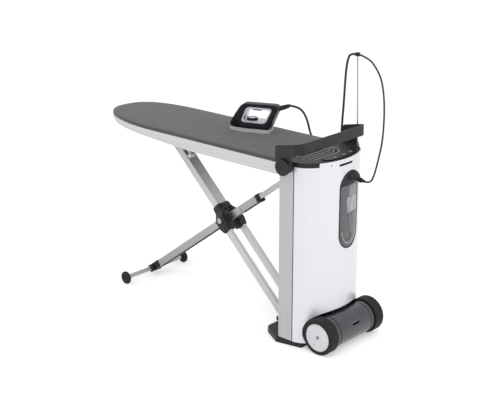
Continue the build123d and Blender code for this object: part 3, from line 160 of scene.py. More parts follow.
hub_abs, tree, shader = finish("off-white moulded ABS", "D9D8DC", 0.36)
tint(tree, shader, grain(tree, 25), "D3D2D7", "DEDDE1")
roughen(tree, shader, grain(tree, 1.0), 0.03, 0.3)

gloss_abs, tree, shader = finish("gloss black ABS", "141417", 0.34, Specular_IOR_Level=0.18)
vary(tree, shader, grain(tree, 35), 0.3, 0.4)
roughen(tree, shader, grain(tree, 6), 0.02, 0.15)

lilac_trim, tree, shader = finish("silver-lilac lacquer", "B9B6C3", 0.26, 0.45, Coat_Weight=0.3)
tint(tree, shader, grain(tree, 0.8), "B2AFBD", "C3C0CC")
roughen(tree, shader, grain(tree, 2.0), 0.02, 0.2)

key_grey, tree, shader = finish("grey key plastic", "77767C", 0.4)
tint(tree, shader, grain(tree, 10), "727177", "7E7D83")
roughen(tree, shader, grain(tree, 0.6), 0.03, 0.4)
print("plastics ready")

# %% [markdown]
# ## Metals
# The column and the board's band are extruded aluminium, brushed along their
# length and anodised, so the light runs in faint streaks. The legs are blasted
# before they are anodised, which leaves an even grain. Pins, mast and axle are
# plain steel, the crossbar and the hose rod are chrome, and the iron's sole is
# polished aluminium. A brushed streak is about 0.3 mm wide and blasting leaves
# pits of about 0.1 mm, too fine to show here, so they are drawn at 1.5 to 2 mm.

# %% Aluminium, steel and chrome
column_aluminium, tree, shader = finish("warm anodised aluminium", "BAB6B9", 0.36, 0.45)
streaks = grain(tree, 2, (1, 1, 0.01))
tint(tree, shader, streaks, "B4B0B3", "C1BDBF")
vary(tree, shader, streaks, 0.32, 0.42)
roughen(tree, shader, streaks, 0.01, 0.3)

leg_aluminium, tree, shader = finish("clear anodised aluminium", "D2D2D4", 0.4, 0.35)
pits = grain(tree, 1.5)
tint(tree, shader, pits, "CDCDD0", "D6D6D8")
vary(tree, shader, pits, 0.36, 0.42)
roughen(tree, shader, pits, 0.01, 0.3)

tube_aluminium, tree, shader = finish("grey anodised aluminium", "ADADB0", 0.38, 0.4)
pits = grain(tree, 1.5)
tint(tree, shader, pits, "A7A7AA", "B4B4B7")
vary(tree, shader, pits, 0.34, 0.42)

band_aluminium, tree, shader = finish("satin band aluminium", "CDCDCF", 0.42, 0.3)
tint(tree, shader, grain(tree, 2, (0.05, 1, 1)), "C9C9CB", "D2D2D4")
roughen(tree, shader, grain(tree, 2, (0.05, 1, 1)), 0.01, 0.3)

plain_steel, tree, shader = finish("brushed steel", "A9A9AB", 0.32, 1.0)
vary(tree, shader, grain(tree, 2, (1, 0.05, 1)), 0.26, 0.4)
tint(tree, shader, grain(tree, 20), "A2A2A5", "B0B0B2")

bright_chrome, tree, shader = finish("chrome plate", "A6A6AB", 0.1, 1.0)
vary(tree, shader, grain(tree, 15), 0.05, 0.12)

sole_aluminium, tree, shader = finish("polished aluminium sole", "E2E2E6", 0.2, 0.5)
vary(tree, shader, grain(tree, 3, (0.1, 1, 1)), 0.12, 0.22)
print("metals ready")

# %% [markdown]
# ## Rubber, hose and smoky tank
# The tyres, foot discs and strips are synthetic rubber, dull and slightly
# uneven in tone. The thick stretch of the hose has a braided sleeve of
# yarn about 1.5 mm wide. The water tank is smoky polycarbonate: it lets some
# light through. Thin pieces in three greys lie on its face: the cartridge and its
# neck seen behind the wall, and under them a painted shade for the dim inside.

# %% Rubber, hose and tank
tyre_rubber, tree, shader = finish("tyre rubber", "1A1A1C", 0.7, Specular_IOR_Level=0.3)
tint(tree, shader, grain(tree, 12), "171719", "212123")
roughen(tree, shader, grain(tree, 1.0), 0.08, 0.5)

strip_rubber, tree, shader = finish("strip rubber", "37363A", 0.6)
tint(tree, shader, grain(tree, 8), "323135", "3E3D41")
roughen(tree, shader, grain(tree, 1.0), 0.05, 0.4)

braid_sleeve, tree, shader = finish("braided hose sleeve", "19191B", 0.68)
yarn = add(tree, "ShaderNodeTexMagic", {"turbulence_depth": 1}, Vector=place(tree), Scale=260.0)
tint(tree, shader, yarn.outputs["Fac"], "111113", "2A2A2D")
roughen(tree, shader, yarn.outputs["Fac"], 0.4, 0.5)

smooth_hose, tree, shader = finish("smooth hose rubber", "17171A", 0.45)
tint(tree, shader, grain(tree, 6), "131315", "202023")
roughen(tree, shader, grain(tree, 1.5), 0.04, 0.4)

smoky_tank, tree, shader = finish("smoky polycarbonate", "66666B", 0.12, Transmission_Weight=0.45, IOR=1.58)
vary(tree, shader, grain(tree, 40), 0.08, 0.18)

cartridge_white, tree, shader = finish("pale cartridge plastic", "C9C9CE", 0.4)
tint(tree, shader, grain(tree, 9), "C0C0C6", "D2D2D6")

cartridge_seen, tree, shader = finish("cartridge behind smoke", "9B9BA0", 0.25, Coat_Weight=0.3)
tint(tree, shader, grain(tree, 12, (1, 1, 0.3)), "8C8C92", "A6A6AA")

neck_seen, tree, shader = finish("neck behind smoke", "77777C", 0.25, Coat_Weight=0.3)
tint(tree, shader, grain(tree, 12, (1, 1, 0.3)), "6E6E74", "808085")

# painted shade: a dark grey that stands for the dim inside of the tank under the cartridge
shade_behind_smoke, tree, shader = finish("painted shade behind smoke", "47474C", 0.2, Coat_Weight=0.3)
tint(tree, shader, grain(tree, 6, (1, 1, 0.1)), "424247", "505055")

liner_grey, tree, shader = finish("dark liner plastic", "3B3A3F", 0.5)
tint(tree, shader, grain(tree, 30), "36353A", "434247")
roughen(tree, shader, grain(tree, 0.9), 0.04, 0.4)
print("rubber, hose and tank ready")

# %% [markdown]
# ## Woven cover
# The board wears a fitted cotton cover over felt, dark grey with a plain
# weave. Threads are about 0.5 mm apart, too fine for this view, so the weave
# is drawn at 2.5 mm. Two crossed waves give the over-and-under of the yarns,
# and a wide, soft noise gives the slight unevenness of cloth pulled tight.

# %% Cover cloth
THREAD_MM, WAVE_TURN = 2.5, 6.28
cover_cloth, tree, shader = finish(
    "dark grey cotton weave", "454446", 0.85, Sheen_Weight=0.25, Sheen_Roughness=0.5
)
where = place(tree)
waves = []
for axis in ("X", "Y"):
    bands = {"bands_direction": axis}
    wave = add(tree, "ShaderNodeTexWave", bands, Vector=where, Scale=1000 / THREAD_MM / WAVE_TURN)
    waves.append(wave.outputs["Fac"])
weave = add(tree, "ShaderNodeMath", {"operation": "MULTIPLY"}, _0=waves[0], _1=waves[1]).outputs[0]
mixed = add(tree, "ShaderNodeMath", {"operation": "MULTIPLY_ADD"}, _0=weave, _1=0.25, _2=grain(tree, 60))
tint(tree, shader, mixed.outputs[0], "403F41", "4A494B", 0.35, 0.85)
roughen(tree, shader, weave, 0.15, 0.35)
print("cloth ready")

# %% [markdown]
# ## Dressing the parts
# Each exact part keeps its shape and only swaps its material. The table below
# reads like a parts list: a finish, then everything that is made with it.

# %% Give each part its finish
worn_by = {
    silver_lacquer: "body_shell",
    column_aluminium: "front_column",
    band_aluminium: "board_band",
    tube_aluminium: "leg_tube_outer",
    leg_aluminium: "leg_a_upper leg_a_rails leg_rail inner_frame board_deck",
    plain_steel: "axle boiler lift_mast carriage top_pin cross_pin leg_tube_inner",
    bright_chrome: "foot_crossbar hose_rod",
    sole_aluminium: "iron_sole",
    black_abs: "base_plate top_cover hose_socket hose_plug rod_socket hose_clip cross_yoke tube_collar "
    "foot_joint near_hub_knob far_hub_knob leg_slider tube_shuttle fan_housing fan_impeller board_tray "
    "leg_strip",
    charcoal_abs: "bow_handle",
    gloss_abs: "control_panel iron_body",
    key_grey: "key_1 key_2 key_3 iron_button pump power_board",
    lilac_trim: "iron_bezels",
    fender_abs: "wheel_fender",
    hub_abs: "near_wheel_hub far_wheel_hub",
    tyre_rubber: "near_tyre far_tyre foot_discs iron_gland",
    strip_rubber: "seam_strips",
    smoky_tank: "water_tank",
    cartridge_white: "tank_fittings",
    liner_grey: "tank_recess",
}
for material, names in worn_by.items():
    for name in names.split():
        part = parts[name]
        part.data.materials.clear()
        part.data.materials.append(material)
dressed = {name for names in worn_by.values() for name in names.split()}
print("not dressed:", sorted(set(parts) - dressed))


# %% [markdown]
# ## Steam hose
# A steam hose is a fixed length of flexible tube, so it is one smooth curve.
# It leaves the socket at the back of the tower, loops up to the clip on the
# rod, and from there its braided stretch hangs behind the board, rises over
# the far edge and ends in the iron. The numbers are control points in metres.


# %% Hose curves
def hose(name, points, diameter, material, body, node):
    """A round hose along control points, standing for its solid."""
    curve = bpy.data.curves.new(name, "CURVE")
    curve.dimensions = "3D"
    line = curve.splines.new("NURBS")
    line.points.add(len(points) - 1)
    for point, place_at in zip(line.points, points):
        point.co = (*place_at, 1)
    line.order_u = 3
    line.use_endpoint_u = True
    line.resolution_u = 12
    curve.bevel_depth = diameter / 2
    curve.bevel_resolution = 5
    curve.use_fill_caps = True
    piece = bpy.data.objects.new(name, curve)
    bpy.context.scene.collection.objects.link(piece)
    curve.materials.append(material)
    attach(piece, body)
    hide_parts(node)
    return piece


LOOP_POINTS = [
    (0.2625, 0.0600, 0.7330), (0.2765, 0.0603, 0.7318), (0.2910, 0.0630, 0.7390),
    (0.3010, 0.0665, 0.7600), (0.3090, 0.0720, 0.7980), (0.3160, 0.0800, 0.8500),
    (0.3210, 0.0940, 0.9150), (0.3040, 0.1240, 1.0200), (0.2800, 0.1480, 1.1000),
    (0.2500, 0.1670, 1.1570), (0.2100, 0.1820, 1.1960), (0.1600, 0.2000, 1.2240),
    (0.1029, 0.2080, 1.2320),
]
BRAID_POINTS = [
    (-0.2605, 0.1830, 0.9530),
    (-0.2360, 0.2090, 0.9460),
    (-0.2150, 0.2250, 0.9240),
    (-0.1970, 0.2320, 0.8850),
    (-0.1830, 0.2360, 0.8290),
    (-0.1600, 0.2410, 0.7760),
    (-0.1180, 0.2460, 0.7420),
    (-0.0660, 0.2490, 0.7380),
    (-0.0280, 0.2500, 0.7720),
    (-0.0150, 0.2490, 0.8300),
    (-0.0100, 0.2450, 0.8980),
    (-0.0020, 0.2420, 0.9750),
    (0.0050, 0.2380, 1.0500),
    (0.0100, 0.2360, 1.1220),
    (0.0180, 0.2320, 1.1720),
    (0.0300, 0.2260, 1.2040),
    (0.0520, 0.2110, 1.2280),
    (0.0831, 0.2080, 1.2320),
]
loop = hose("smooth_hose_loop", LOOP_POINTS, 0.008, smooth_hose, "root", "hose_loop")
braid = hose("braided_hose", BRAID_POINTS, 0.010, braid_sleeve, "iron", "hose_braid")
print("hoses:", loop.name, braid.name)

# %% [markdown]
# ## Fitted cover
# The cover is cloth over a thin felt, pulled round the deck by a drawstring
# underneath, so it is flat on top with a soft rounded edge and a rolled hem
# below. It is built as rings that follow the board's outline: each ring is the
# outline drawn in by some millimetres, at its own height. A few low ripples
# near the edge show where the cloth is gathered round the nose.

# %% Cover over the deck
BOARD_END, BOARD_STRAIGHT, BOARD_TIP, BOARD_HALF = -0.002, -0.779, -1.202, 0.200
SIDE_STEPS, NOSE_STEPS, BACK_STEPS = 40, 72, 12
EDGE_HEIGHT, EDGE_REACH, RIPPLE = 0.829, 0.006, 0.0004


def outline(grow):
    """Points round the board, drawn out by grow: straight sides and a nose, blunter on the far side."""
    end, half, reach = BOARD_END + grow, BOARD_HALF + grow, BOARD_STRAIGHT - BOARD_TIP + grow
    near = [(end + (BOARD_STRAIGHT - end) * n / SIDE_STEPS, -half) for n in range(SIDE_STEPS)]
    nose = []
    for n in range(NOSE_STEPS + 1):
        along, across = math.sin(math.pi * n / NOSE_STEPS), math.cos(math.pi * n / NOSE_STEPS)
        if across < 0:
            along, across = max(0, along) ** (2 / 3), -(abs(across) ** (2 / 3))
        nose.append((BOARD_STRAIGHT - reach * along, -half * across))
    far = [(x, -y) for x, y in reversed(near)]
    back = [(end, half * (1 - 2 * n / BACK_STEPS)) for n in range(1, BACK_STEPS)]
    return near + nose + far + back


def close_rings(mesh, rings):
    """Joins closed rings of points, each to the next, and caps both ends."""
    for low, high in zip(rings, rings[1:]):
        for n in range(len(low)):
            after = (n + 1) % len(low)
            mesh.faces.new((low[n], low[after], high[after], high[n]))
    mesh.faces.new(rings[0])
    mesh.faces.new(list(reversed(rings[-1])))
    bmesh.ops.recalc_face_normals(mesh, faces=mesh.faces)


COVER_RINGS = [
    (-0.0070, 0.8222),
    (-0.0030, 0.8219),
    (-0.0006, 0.8228),
    (0.0004, 0.8250),
    (0.0003, 0.8290),
    (-0.0012, 0.8325),
    (-0.0040, 0.8347),
    (-0.0090, 0.8358),
    (-0.0250, 0.8362),
    (-0.0800, 0.8363),
    (-0.1600, 0.8363),
]
mesh = bmesh.new()
rings = []
for grow, height in COVER_RINGS:
    ring = []
    for n, (x, y) in enumerate(outline(grow)):
        near_edge = max(0, 1 - abs(height - EDGE_HEIGHT) / EDGE_REACH)
        ripple = RIPPLE * near_edge * math.sin(n * 1.9)
        ring.append(mesh.verts.new((x, y + math.copysign(ripple, y), height)))
    rings.append(ring)
close_rings(mesh, rings)


def piece(name, mesh, body, material, slot_name):
    """Turns a bmesh into a smooth piece that rides on a body."""
    data = bpy.data.meshes.new(name)
    mesh.to_mesh(data)
    mesh.free()
    data.materials.append(material)
    for face in data.polygons:
        face.use_smooth = True
    thing = bpy.data.objects.new(name, data)
    bpy.context.scene.collection.objects.link(thing)
    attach(thing, body)
    return thing


cover = piece("board_cover", mesh, "board", cover_cloth, "cover_cloth")
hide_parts("cover_pad")
print("cover:", len(cover.data.polygons), "faces")

# %% [markdown]
# ## Side band and floor of the board
# The band is one aluminium strip bent round the board. It has a flat upper
# face, a shallow line, and a lower lip that leans in, and it gets less deep
# towards the nose. A thin plate closes the board from below.

# %% Band and floor plate
BAND_LOW, BAND_TOP = 0.768, 0.8222
BAND_RINGS = [
    (-0.0030, 1.0), (0.0005, 1.0), (0.0010, 0.96), (0.0010, 0.44), (-0.0006, 0.41),
    (-0.0006, 0.37), (-0.0002, 0.34), (-0.0050, 0.0), (-0.0080, 0.0), (-0.0060, 0.9),
]


def band_low(x):
    """Height of the band's lower edge, rising towards the nose."""
    middle, tip = min(1, max(0, (-x - 0.52) / 0.36)), min(1, max(0, (-x - 0.88) / 0.32))
    return BAND_LOW + 0.020 * middle + 0.006 * tip


mesh = bmesh.new()
rings = []
for grow, share in BAND_RINGS:
    points = outline(grow)[: 2 * SIDE_STEPS + NOSE_STEPS + 1]
    rings.append([mesh.verts.new((x, y, band_low(x) + (BAND_TOP - band_low(x)) * share)) for x, y in points])
for low, high in zip(rings, rings[1:] + rings[:1]):
    for n in range(len(low) - 1):
        mesh.faces.new((low[n], low[n + 1], high[n + 1], high[n]))
bmesh.ops.recalc_face_normals(mesh, faces=mesh.faces)
band = piece("side_band", mesh, "board", band_aluminium, "silver_paint")
band.data.set_sharp_from_angle(angle=math.radians(30))
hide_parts("board_band")
mesh = bmesh.new()
close_rings(mesh, [[mesh.verts.new((x, y, z)) for x, y in outline(-0.004)] for z in (0.8062, 0.8080)])
plate = piece("floor_plate", mesh, "board", band_aluminium, "silver_paint")
plate.data.set_sharp_from_angle(angle=math.radians(30))
print("band:", len(band.data.polygons), "faces")

# %% [markdown]
# ## Outlines
# The long leg is made of aluminium extrusions, and the yoke, the collar and the
# iron are mouldings. Both start from a flat outline, as a drawing does: its
# corners are small curves, and an extrusion's grooves are part of the outline.
# Lengths from here on are in millimetres in the piece's own frame.


# %% Helpers for outlines
def rounded(points, radius, steps=4):
    """A closed outline with each corner drawn as a small curve."""
    shape = []
    for before, corner, after in zip(points[-1:] + points[:-1], points, points[1:] + points[:1]):
        corner, arms = Vector(corner), []
        for other in (before, after):
            arm = Vector(other) - corner
            arms.append(corner + arm * min(0.45, radius / arm.length))
        for n in range(steps + 1):
            t = n / steps
            shape.append(tuple(arms[0] * (1 - t) ** 2 + corner * 2 * t * (1 - t) + arms[1] * t * t))
    return shape


def grooved(start, end, spots, wide=3.0, deep=1.0):
    """Points of one edge with a square groove at each spot, a distance from the start."""
    start, end = Vector(start), Vector(end)
    along = (end - start).normalized()
    inward = Vector((-along.y, along.x))
    points = [tuple(start)]
    for spot in spots:
        for step, depth in ((-wide / 2, 0), (-wide / 2, deep), (wide / 2, deep), (wide / 2, 0)):
            points.append(tuple(start + along * (spot + step) + inward * depth))
    return points


def mirrored(points):
    """The same outline on the other side of the middle."""
    return [(-y, z) for y, z in reversed(points)]


def circle(at, radius, count=40):
    """Points of a circle."""
    turns = [math.tau * n / count for n in range(count)]
    return [(at[0] + radius * math.cos(turn), at[1] + radius * math.sin(turn)) for turn in turns]


print("outline helpers ready")

# %% [markdown]
# ## Bars
# An extrusion is one outline pulled along an axis, grooves and all. A round bar
# is the same with a circle, and several bars can be kept as one mesh.

# %% Helpers for bars
PULLED = {
    "x": lambda a, b, c: (c, a, b),
    "y": lambda a, b, c: (a, c, b),
    "z": lambda a, b, c: (a, b, c),
}


def bar(shape, low, high, axis="x"):
    """An outline pulled along an axis: (y, z) along x, (x, z) along y, (x, y) along z."""
    mesh = bmesh.new()
    close_rings(mesh, [[mesh.verts.new(PULLED[axis](a, b, c)) for a, b in shape] for c in (low, high)])
    return mesh


def brick(x0, x1, y0, y1, z0, z1):
    """A plain block between two corners."""
    return bar([(y0, z0), (y1, z0), (y1, z1), (y0, z1)], x0, x1)


def disc(at, radius, low, high, axis="y", count=40):
    """A round bar about a point: (x, z) along y, (x, y) along z."""
    return bar(circle(at, radius, count), low, high, axis)


def joined(*meshes):
    """Several bars as one mesh."""
    whole = bmesh.new()
    for mesh in meshes:
        data = bpy.data.meshes.new("part")
        mesh.to_mesh(data)
        mesh.free()
        whole.from_mesh(data)
        bpy.data.meshes.remove(data)
    return whole


print("bar helpers ready")

# %% [markdown]
# ## Mouldings
# A moulding is the room that two or three bars have in common, less its
# openings, which is how a toolmaker reads a side view and a top view. Boolean
# modifiers do both, and a bevel softens the edges that the mould leaves.


# %% Helpers for mouldings
def cut_by(thing, kind, data):
    """Cuts a piece by a mesh: INTERSECT keeps what they share, DIFFERENCE takes it away."""
    tool = bpy.data.objects.new("tool", data)
    bpy.context.scene.collection.objects.link(tool)
    cut = thing.modifiers.new("cut", "BOOLEAN")
    cut.operation, cut.object, cut.solver = kind, tool, "EXACT"
    return tool


def settle(thing, tools):
    """Turns a piece's modifiers into its mesh and removes the tools."""
    view = bpy.context.evaluated_depsgraph_get()
    shaped = bpy.data.meshes.new_from_object(thing.evaluated_get(view))
    thing.modifiers.clear()
    thing.data = shaped
    for tool in tools:
        bpy.data.objects.remove(tool)
    print(thing.name, len(shaped.polygons), "faces")


def moulding(name, mesh, frame_of, body, material, slot_name, common=(), less=(), edge=0.0):
    """A piece cut to what it has in common with some bars, less others, its edges softened."""
    mesh.transform(frame_of)
    thing = piece(name, mesh, body, material, slot_name)
    tools = []
    for kind, bars in (("INTERSECT", common), ("DIFFERENCE", less)):
        for tool_mesh in bars:
            tool_mesh.transform(frame_of)
            data = bpy.data.meshes.new("tool")
            tool_mesh.to_mesh(data)
            tool_mesh.free()
            tools.append(cut_by(thing, kind, data))
    if edge:
        soft = thing.modifiers.new("soft edges", "BEVEL")
        soft.width, soft.segments, soft.limit_method = edge / 1000, 2, "ANGLE"
        soft.angle_limit = math.radians(35)
    settle(thing, tools)
    for face in thing.data.polygons:
        face.use_smooth = True
    thing.data.set_sharp_from_angle(angle=math.radians(32))
    return thing


def frame_at(x, y, z, about_y=0.0, about_z=0.0):
    """A frame in millimetres at a point in millimetres, turned by degrees."""
    turned = Matrix.Rotation(math.radians(about_z), 4, "Z") @ Matrix.Rotation(math.radians(about_y), 4, "Y")
    return Matrix.Translation((x / 1000, y / 1000, z / 1000)) @ turned @ Matrix.Scale(0.001, 4)


print("moulding helpers ready")

# %% [markdown]
# ## Long leg
# The leg is one narrow ribbed channel from the board to the yoke and two slim
# rails from there to the tower, all of clear anodised aluminium. Its frame has
# its origin at the cross pin and its x axis towards the board. At the top the
# channel is open on one side, so that the stays can swing in it.

# %% Channel of the long leg
CROSS_X, CROSS_Z, LEG_TURN, TUBE_TURN = -471.44, 413.81, -135.96, -36.70
TO_TOP, TO_BASE, OPEN_LENGTH = 477.9, 530.6, 136
HALF, DEEP, INSIDE, FLOOR = 30, 18, 20.5, 3
SIDE_GROOVES = (8, 18, 28)
long_leg = frame_at(CROSS_X, 0, CROSS_Z, LEG_TURN)
tube = frame_at(CROSS_X, 0, CROSS_Z, TUBE_TURN)

channel = [
    *grooved((-HALF, -DEEP), (HALF, -DEEP), (6, 18, 30, 42, 54), 2.4),
    *grooved((HALF, -DEEP), (HALF, DEEP), SIDE_GROOVES),
    (HALF, DEEP), (INSIDE, DEEP), (INSIDE, -DEEP + FLOOR), (-INSIDE, -DEEP + FLOOR), (-INSIDE, DEEP),
    *grooved((-HALF, DEEP), (-HALF, -DEEP), SIDE_GROOVES),
]
near_cheek = [
    (-HALF, -DEEP), (-INSIDE, -DEEP), (-INSIDE, DEEP), *grooved((-HALF, DEEP), (-HALF, -DEEP), SIDE_GROOVES),
]
upper = joined(
    bar(channel, 46, TO_TOP - OPEN_LENGTH),
    bar(near_cheek, TO_TOP - OPEN_LENGTH, TO_TOP),
    bar(mirrored(near_cheek), TO_TOP - OPEN_LENGTH, TO_TOP),
    disc((TO_TOP, 0), DEEP, -HALF, -INSIDE),
    disc((TO_TOP, 0), DEEP, INSIDE, HALF),
)
leg_channel = moulding("leg_channel", upper, long_leg, "leg_a", leg_aluminium, "warm_silver")
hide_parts("leg_a_upper")

# %% [markdown]
# ## Rails and stays of the long leg
# Each rail is a slim grooved extrusion with a rounded foot. The stays are two
# flat steel bars on the top pin, and they lie inside the channel.

# %% Rails and stays
RAIL_IN, RAIL_OUT, RAIL_TOP = 37, 56, 14
rails = []
for side in (-1, 1):
    section = [
        (RAIL_IN, -DEEP), *grooved((RAIL_OUT, -DEEP), (RAIL_OUT, RAIL_TOP), (8, 17, 25)),
        (RAIL_OUT, RAIL_TOP), (RAIL_IN, RAIL_TOP),
    ]
    rails.append(bar(section if side > 0 else mirrored(section), -TO_BASE, -50))
    low, high = sorted((side * RAIL_IN, side * RAIL_OUT))
    rails.append(disc((-TO_BASE, 0), 14, low, high))
leg_rails = moulding("leg_rails", joined(*rails), long_leg, "leg_a", leg_aluminium, "warm_silver")
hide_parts("leg_a_rails")

pin_frame = frame_at(-815, 0, 746, LEG_TURN)
stays = [disc((0, 0), 7, -HALF, HALF)]
for side in (-1, 1):
    low, high = sorted((side * 9.5, side * 20.2))
    stays.append(brick(-118, 10, low, high, -18, 3))
stay_pin = moulding("stay_pin", joined(*stays), pin_frame, "leg_sleeve", plain_steel, "steel")
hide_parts("top_pin")

# %% [markdown]
# ## Yoke, collar and guard strip
# The yoke is a black nylon moulding, wide over the two rails and narrow where
# it clasps the channel, with a window through which the telescopic tube runs.
# The tube ends in a slim clamping collar, and a guard strip runs under it.

# %% Yoke and collar
WIDE, NARROW = 61, 35
side_view = [(-64, -19), (-34, -30), (24, -30), (78, -22), (78, 20), (24, 30), (-34, 30), (-64, 17)]
top_view = [
    (-64, -WIDE), (8, -WIDE), (44, -NARROW), (78, -NARROW),
    (78, NARROW), (44, NARROW), (8, WIDE), (-64, WIDE),
]
yoke = moulding(
    "yoke",
    bar(rounded(side_view, 8), -WIDE, WIDE, "y"),
    long_leg,
    "leg_a",
    black_abs,
    "black_plastic",
    common=[bar(rounded(top_view, 8), -80, 80, "z")],
    less=[
        brick(-90, 46, -INSIDE, INSIDE, -60, 60),
        brick(40, 90, -INSIDE, INSIDE, -21, 60),
        disc((0, 0), 7.3, -80, 80),
    ],
    edge=1.5,
)
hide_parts("cross_yoke")
collar = moulding(
    "collar",
    bar(rounded([(-19.5, -23), (19.5, -23), (19.5, 18), (-19.5, 18)], 3), 231, 249),
    tube,
    "leg_b",
    black_abs,
    "black_plastic",
    less=[brick(220, 239, -18, 18, -17, 17), brick(220, 260, -12.8, 12.8, -11.8, 11.8)],
    edge=1.0,
)
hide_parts("tube_collar")
guard = brick(110, 231, -9, 9, -21, -17)
moulding("guard_strip", guard, tube, "leg_b", strip_rubber, "black_plastic")

# %% [markdown]
# ## Iron: views and sole
# The iron is a black gloss moulding that leans back over its heel, on a thick
# polished sole. Three outlines describe it: the pointed plan, a wedge that
# narrows upwards and the open window under the handle. The sole is the plan
# alone, with its lower rim rounded so that it glides.

# %% Outlines of the iron, and its sole
iron_frame = frame_at(-393, 66, 836.3, 0, 22)
SOLE_HALF, SOLE_THICK, HEEL_CUT = 42, 19, 12


def sole_outline(grow, back=100):
    """Pointed plan of the sole, tip towards minus x, drawn out by grow."""
    half = SOLE_HALF + grow
    shape = [
        (back - HEEL_CUT, -half), (back + grow, HEEL_CUT - half),
        (back + grow, half - HEEL_CUT), (back - HEEL_CUT, half),
    ]
    for n in range(25):
        turn = math.pi * (n / 24 - 0.5)
        shape.append((4 - (106 + grow) * math.cos(turn), -half * math.sin(turn)))
    return shape


def wedge(grow):
    """Cross-section of the body, wide at the sole and narrow at the handle."""
    return [(-40 - grow, 8), (40 + grow, 8), (22 + grow, 134), (-22 - grow, 134)]


def window(grow):
    """The opening under the handle, seen from the side and drawn out by grow."""
    points = [
        (-28 - 1.2 * grow, 54 - grow), (-6 - 0.7 * grow, 108 + grow),
        (104 + 1.2 * grow, 108 + grow), (76 + 0.7 * grow, 52 - grow),
    ]
    return rounded(points, 13 + grow * 0.7, 6)


sole = bar(sole_outline(0), 0, SOLE_THICK, "z")
rim = [edge for edge in sole.edges if edge.verts[0].co.z < 1 and edge.verts[1].co.z < 1]
bmesh.ops.bevel(sole, geom=rim, offset=3, segments=3, affect="EDGES")
sole_piece = moulding("sole_plate", sole, iron_frame, "iron", sole_aluminium, "sole_metal")
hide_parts("iron_sole")

# %% [markdown]
# ## Iron: body and window frame
# The body is what its side view, the wedge and the plan have in common, less
# the window. A pale frame of about 8 mm lines the window.

# %% Body and window frame
side_view = [(-103, 19), (-100, 27), (-42, 118), (-28, 129), (122, 130), (136, 120), (136, 106), (95, 19)]
body = moulding(
    "iron_case",
    bar(rounded(side_view, 9), -60, 60, "y"),
    iron_frame,
    "iron",
    gloss_abs,
    "panel_gloss",
    common=[bar(wedge(0), -160, 160), bar(sole_outline(-2, 150), 0, 200, "z")],
    less=[bar(window(8), -70, 70, "y")],
    edge=3.0,
)
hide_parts("iron_body")
lining = moulding(
    "window_frame",
    bar(window(8), -60, 60, "y"),
    iron_frame,
    "iron",
    lilac_trim,
    "bezel_silver",
    common=[bar(wedge(1.8), -160, 160)],
    less=[bar(window(0), -70, 70, "y")],
    edge=1.0,
)
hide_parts("iron_bezels")

# %% [markdown]
# ## Iron: steam key and temperature dial
# The steam key is a small bar under the handle, where the fingers reach it. The
# temperature dial is a round disc on the sill, with a pale face and a ring of
# fourteen small studs for the grip.

# %% Steam key and dial
DIAL_X, STUDS = 8, 14
key = moulding(
    "steam_key",
    bar(rounded([(10, -8), (54, -8), (54, 8), (10, 8)], 8), 98, 104, "z"),
    iron_frame,
    "iron_key",
    key_grey,
    "panel_gloss",
    edge=1.0,
)
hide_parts("iron_button")
dial = disc((DIAL_X, 0), 25, 50, 63, "z")
moulding("temperature_dial", dial, iron_frame, "iron", gloss_abs, "panel_gloss", edge=1.0)
face = [disc((DIAL_X, 0), 22, 63, 64.5, "z")]
for x, y in circle((DIAL_X, 0), 17, STUDS):
    face.append(disc((x, y), 2.2, 64, 65.8, "z", 12))
moulding("dial_face", joined(*face), iron_frame, "iron", lilac_trim, "bezel_silver")

# %% [markdown]
# ## Iron: strain relief of the hose
# Where the hose leaves the iron, a rubber sleeve with a solid collar and five
# thinner ribs keeps it from kinking. It is a round form, so it is turned from a
# profile of radii, as on a lathe.


# %% Strain relief
def lathe(profile):
    """A round form: (radius, height) pairs turned about the frame's z axis."""
    mesh = bmesh.new()
    close_rings(mesh, [[mesh.verts.new((x, y, z)) for x, y in circle((0, 0), r)] for r, z in profile])
    return mesh


def frame_between(start, end):
    """A frame in millimetres at start, its z axis towards end, both in metres."""
    start, end = Vector(start), Vector(end)
    turn = (end - start).to_track_quat("Z", "Y").to_matrix().to_4x4()
    return Matrix.Translation(start) @ turn @ Matrix.Scale(0.001, 4)


gland_start, gland_end = Vector((-0.2820, 0.1080, 0.9440)), Vector(BRAID_POINTS[0])
reach = (gland_end - gland_start).length * 1000
profile = [(13, 0), (13, 12), (11, 16), (11, reach * 0.5)]
for n in range(5):
    height = reach * (0.55 + 0.08 * n)
    radius = 11 - 0.5 * n
    groove = radius - 1.4
    profile += [(radius, height), (radius, height + 3), (groove, height + 3.4), (groove, height + 5)]
profile += [(6.8, reach - 2), (6.0, reach + 1)]
sleeve_frame = frame_between(gland_start, gland_end)
gland = moulding("cord_gland", lathe(profile), sleeve_frame, "iron", tyre_rubber, "black_plastic")
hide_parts("iron_gland")

# %% [markdown]
# ## Grille lines
# The tower's black grille carries three nested pale lines. Each is a thin U: a
# half ring with two straight legs towards the near side.

# %% Lines on the grille
GRILLE_X, GRILLE_Y, LINE_HALF = 76, 32, 1.3
grille_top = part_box("top_cover")[1][2] * 1000


def half_ring(radius, order):
    """Points of a half ring about the grille's middle, in twenty steps."""
    turns = [math.pi * n / 20 for n in order]
    return [(GRILLE_X + radius * math.cos(turn), GRILLE_Y + radius * math.sin(turn)) for turn in turns]


def u_line(radius, reach):
    """A thin U: a half ring, and two legs that reach towards the near side."""
    inner, outer, foot = radius - LINE_HALF, radius + LINE_HALF, GRILLE_Y - reach
    return [
        (GRILLE_X + inner, foot), *half_ring(inner, range(21)), (GRILLE_X - inner, foot),
        (GRILLE_X - outer, foot), *half_ring(outer, range(20, -1, -1)), (GRILLE_X + outer, foot),
    ]


lines = [bar(u_line(12 + 20 * n, 186 - 20 * n), grille_top - 0.4, grille_top + 0.4, "z") for n in range(3)]
moulding("grille_lines", joined(*lines), frame_at(0, 0, 0), "root", lilac_trim, "bezel_silver")
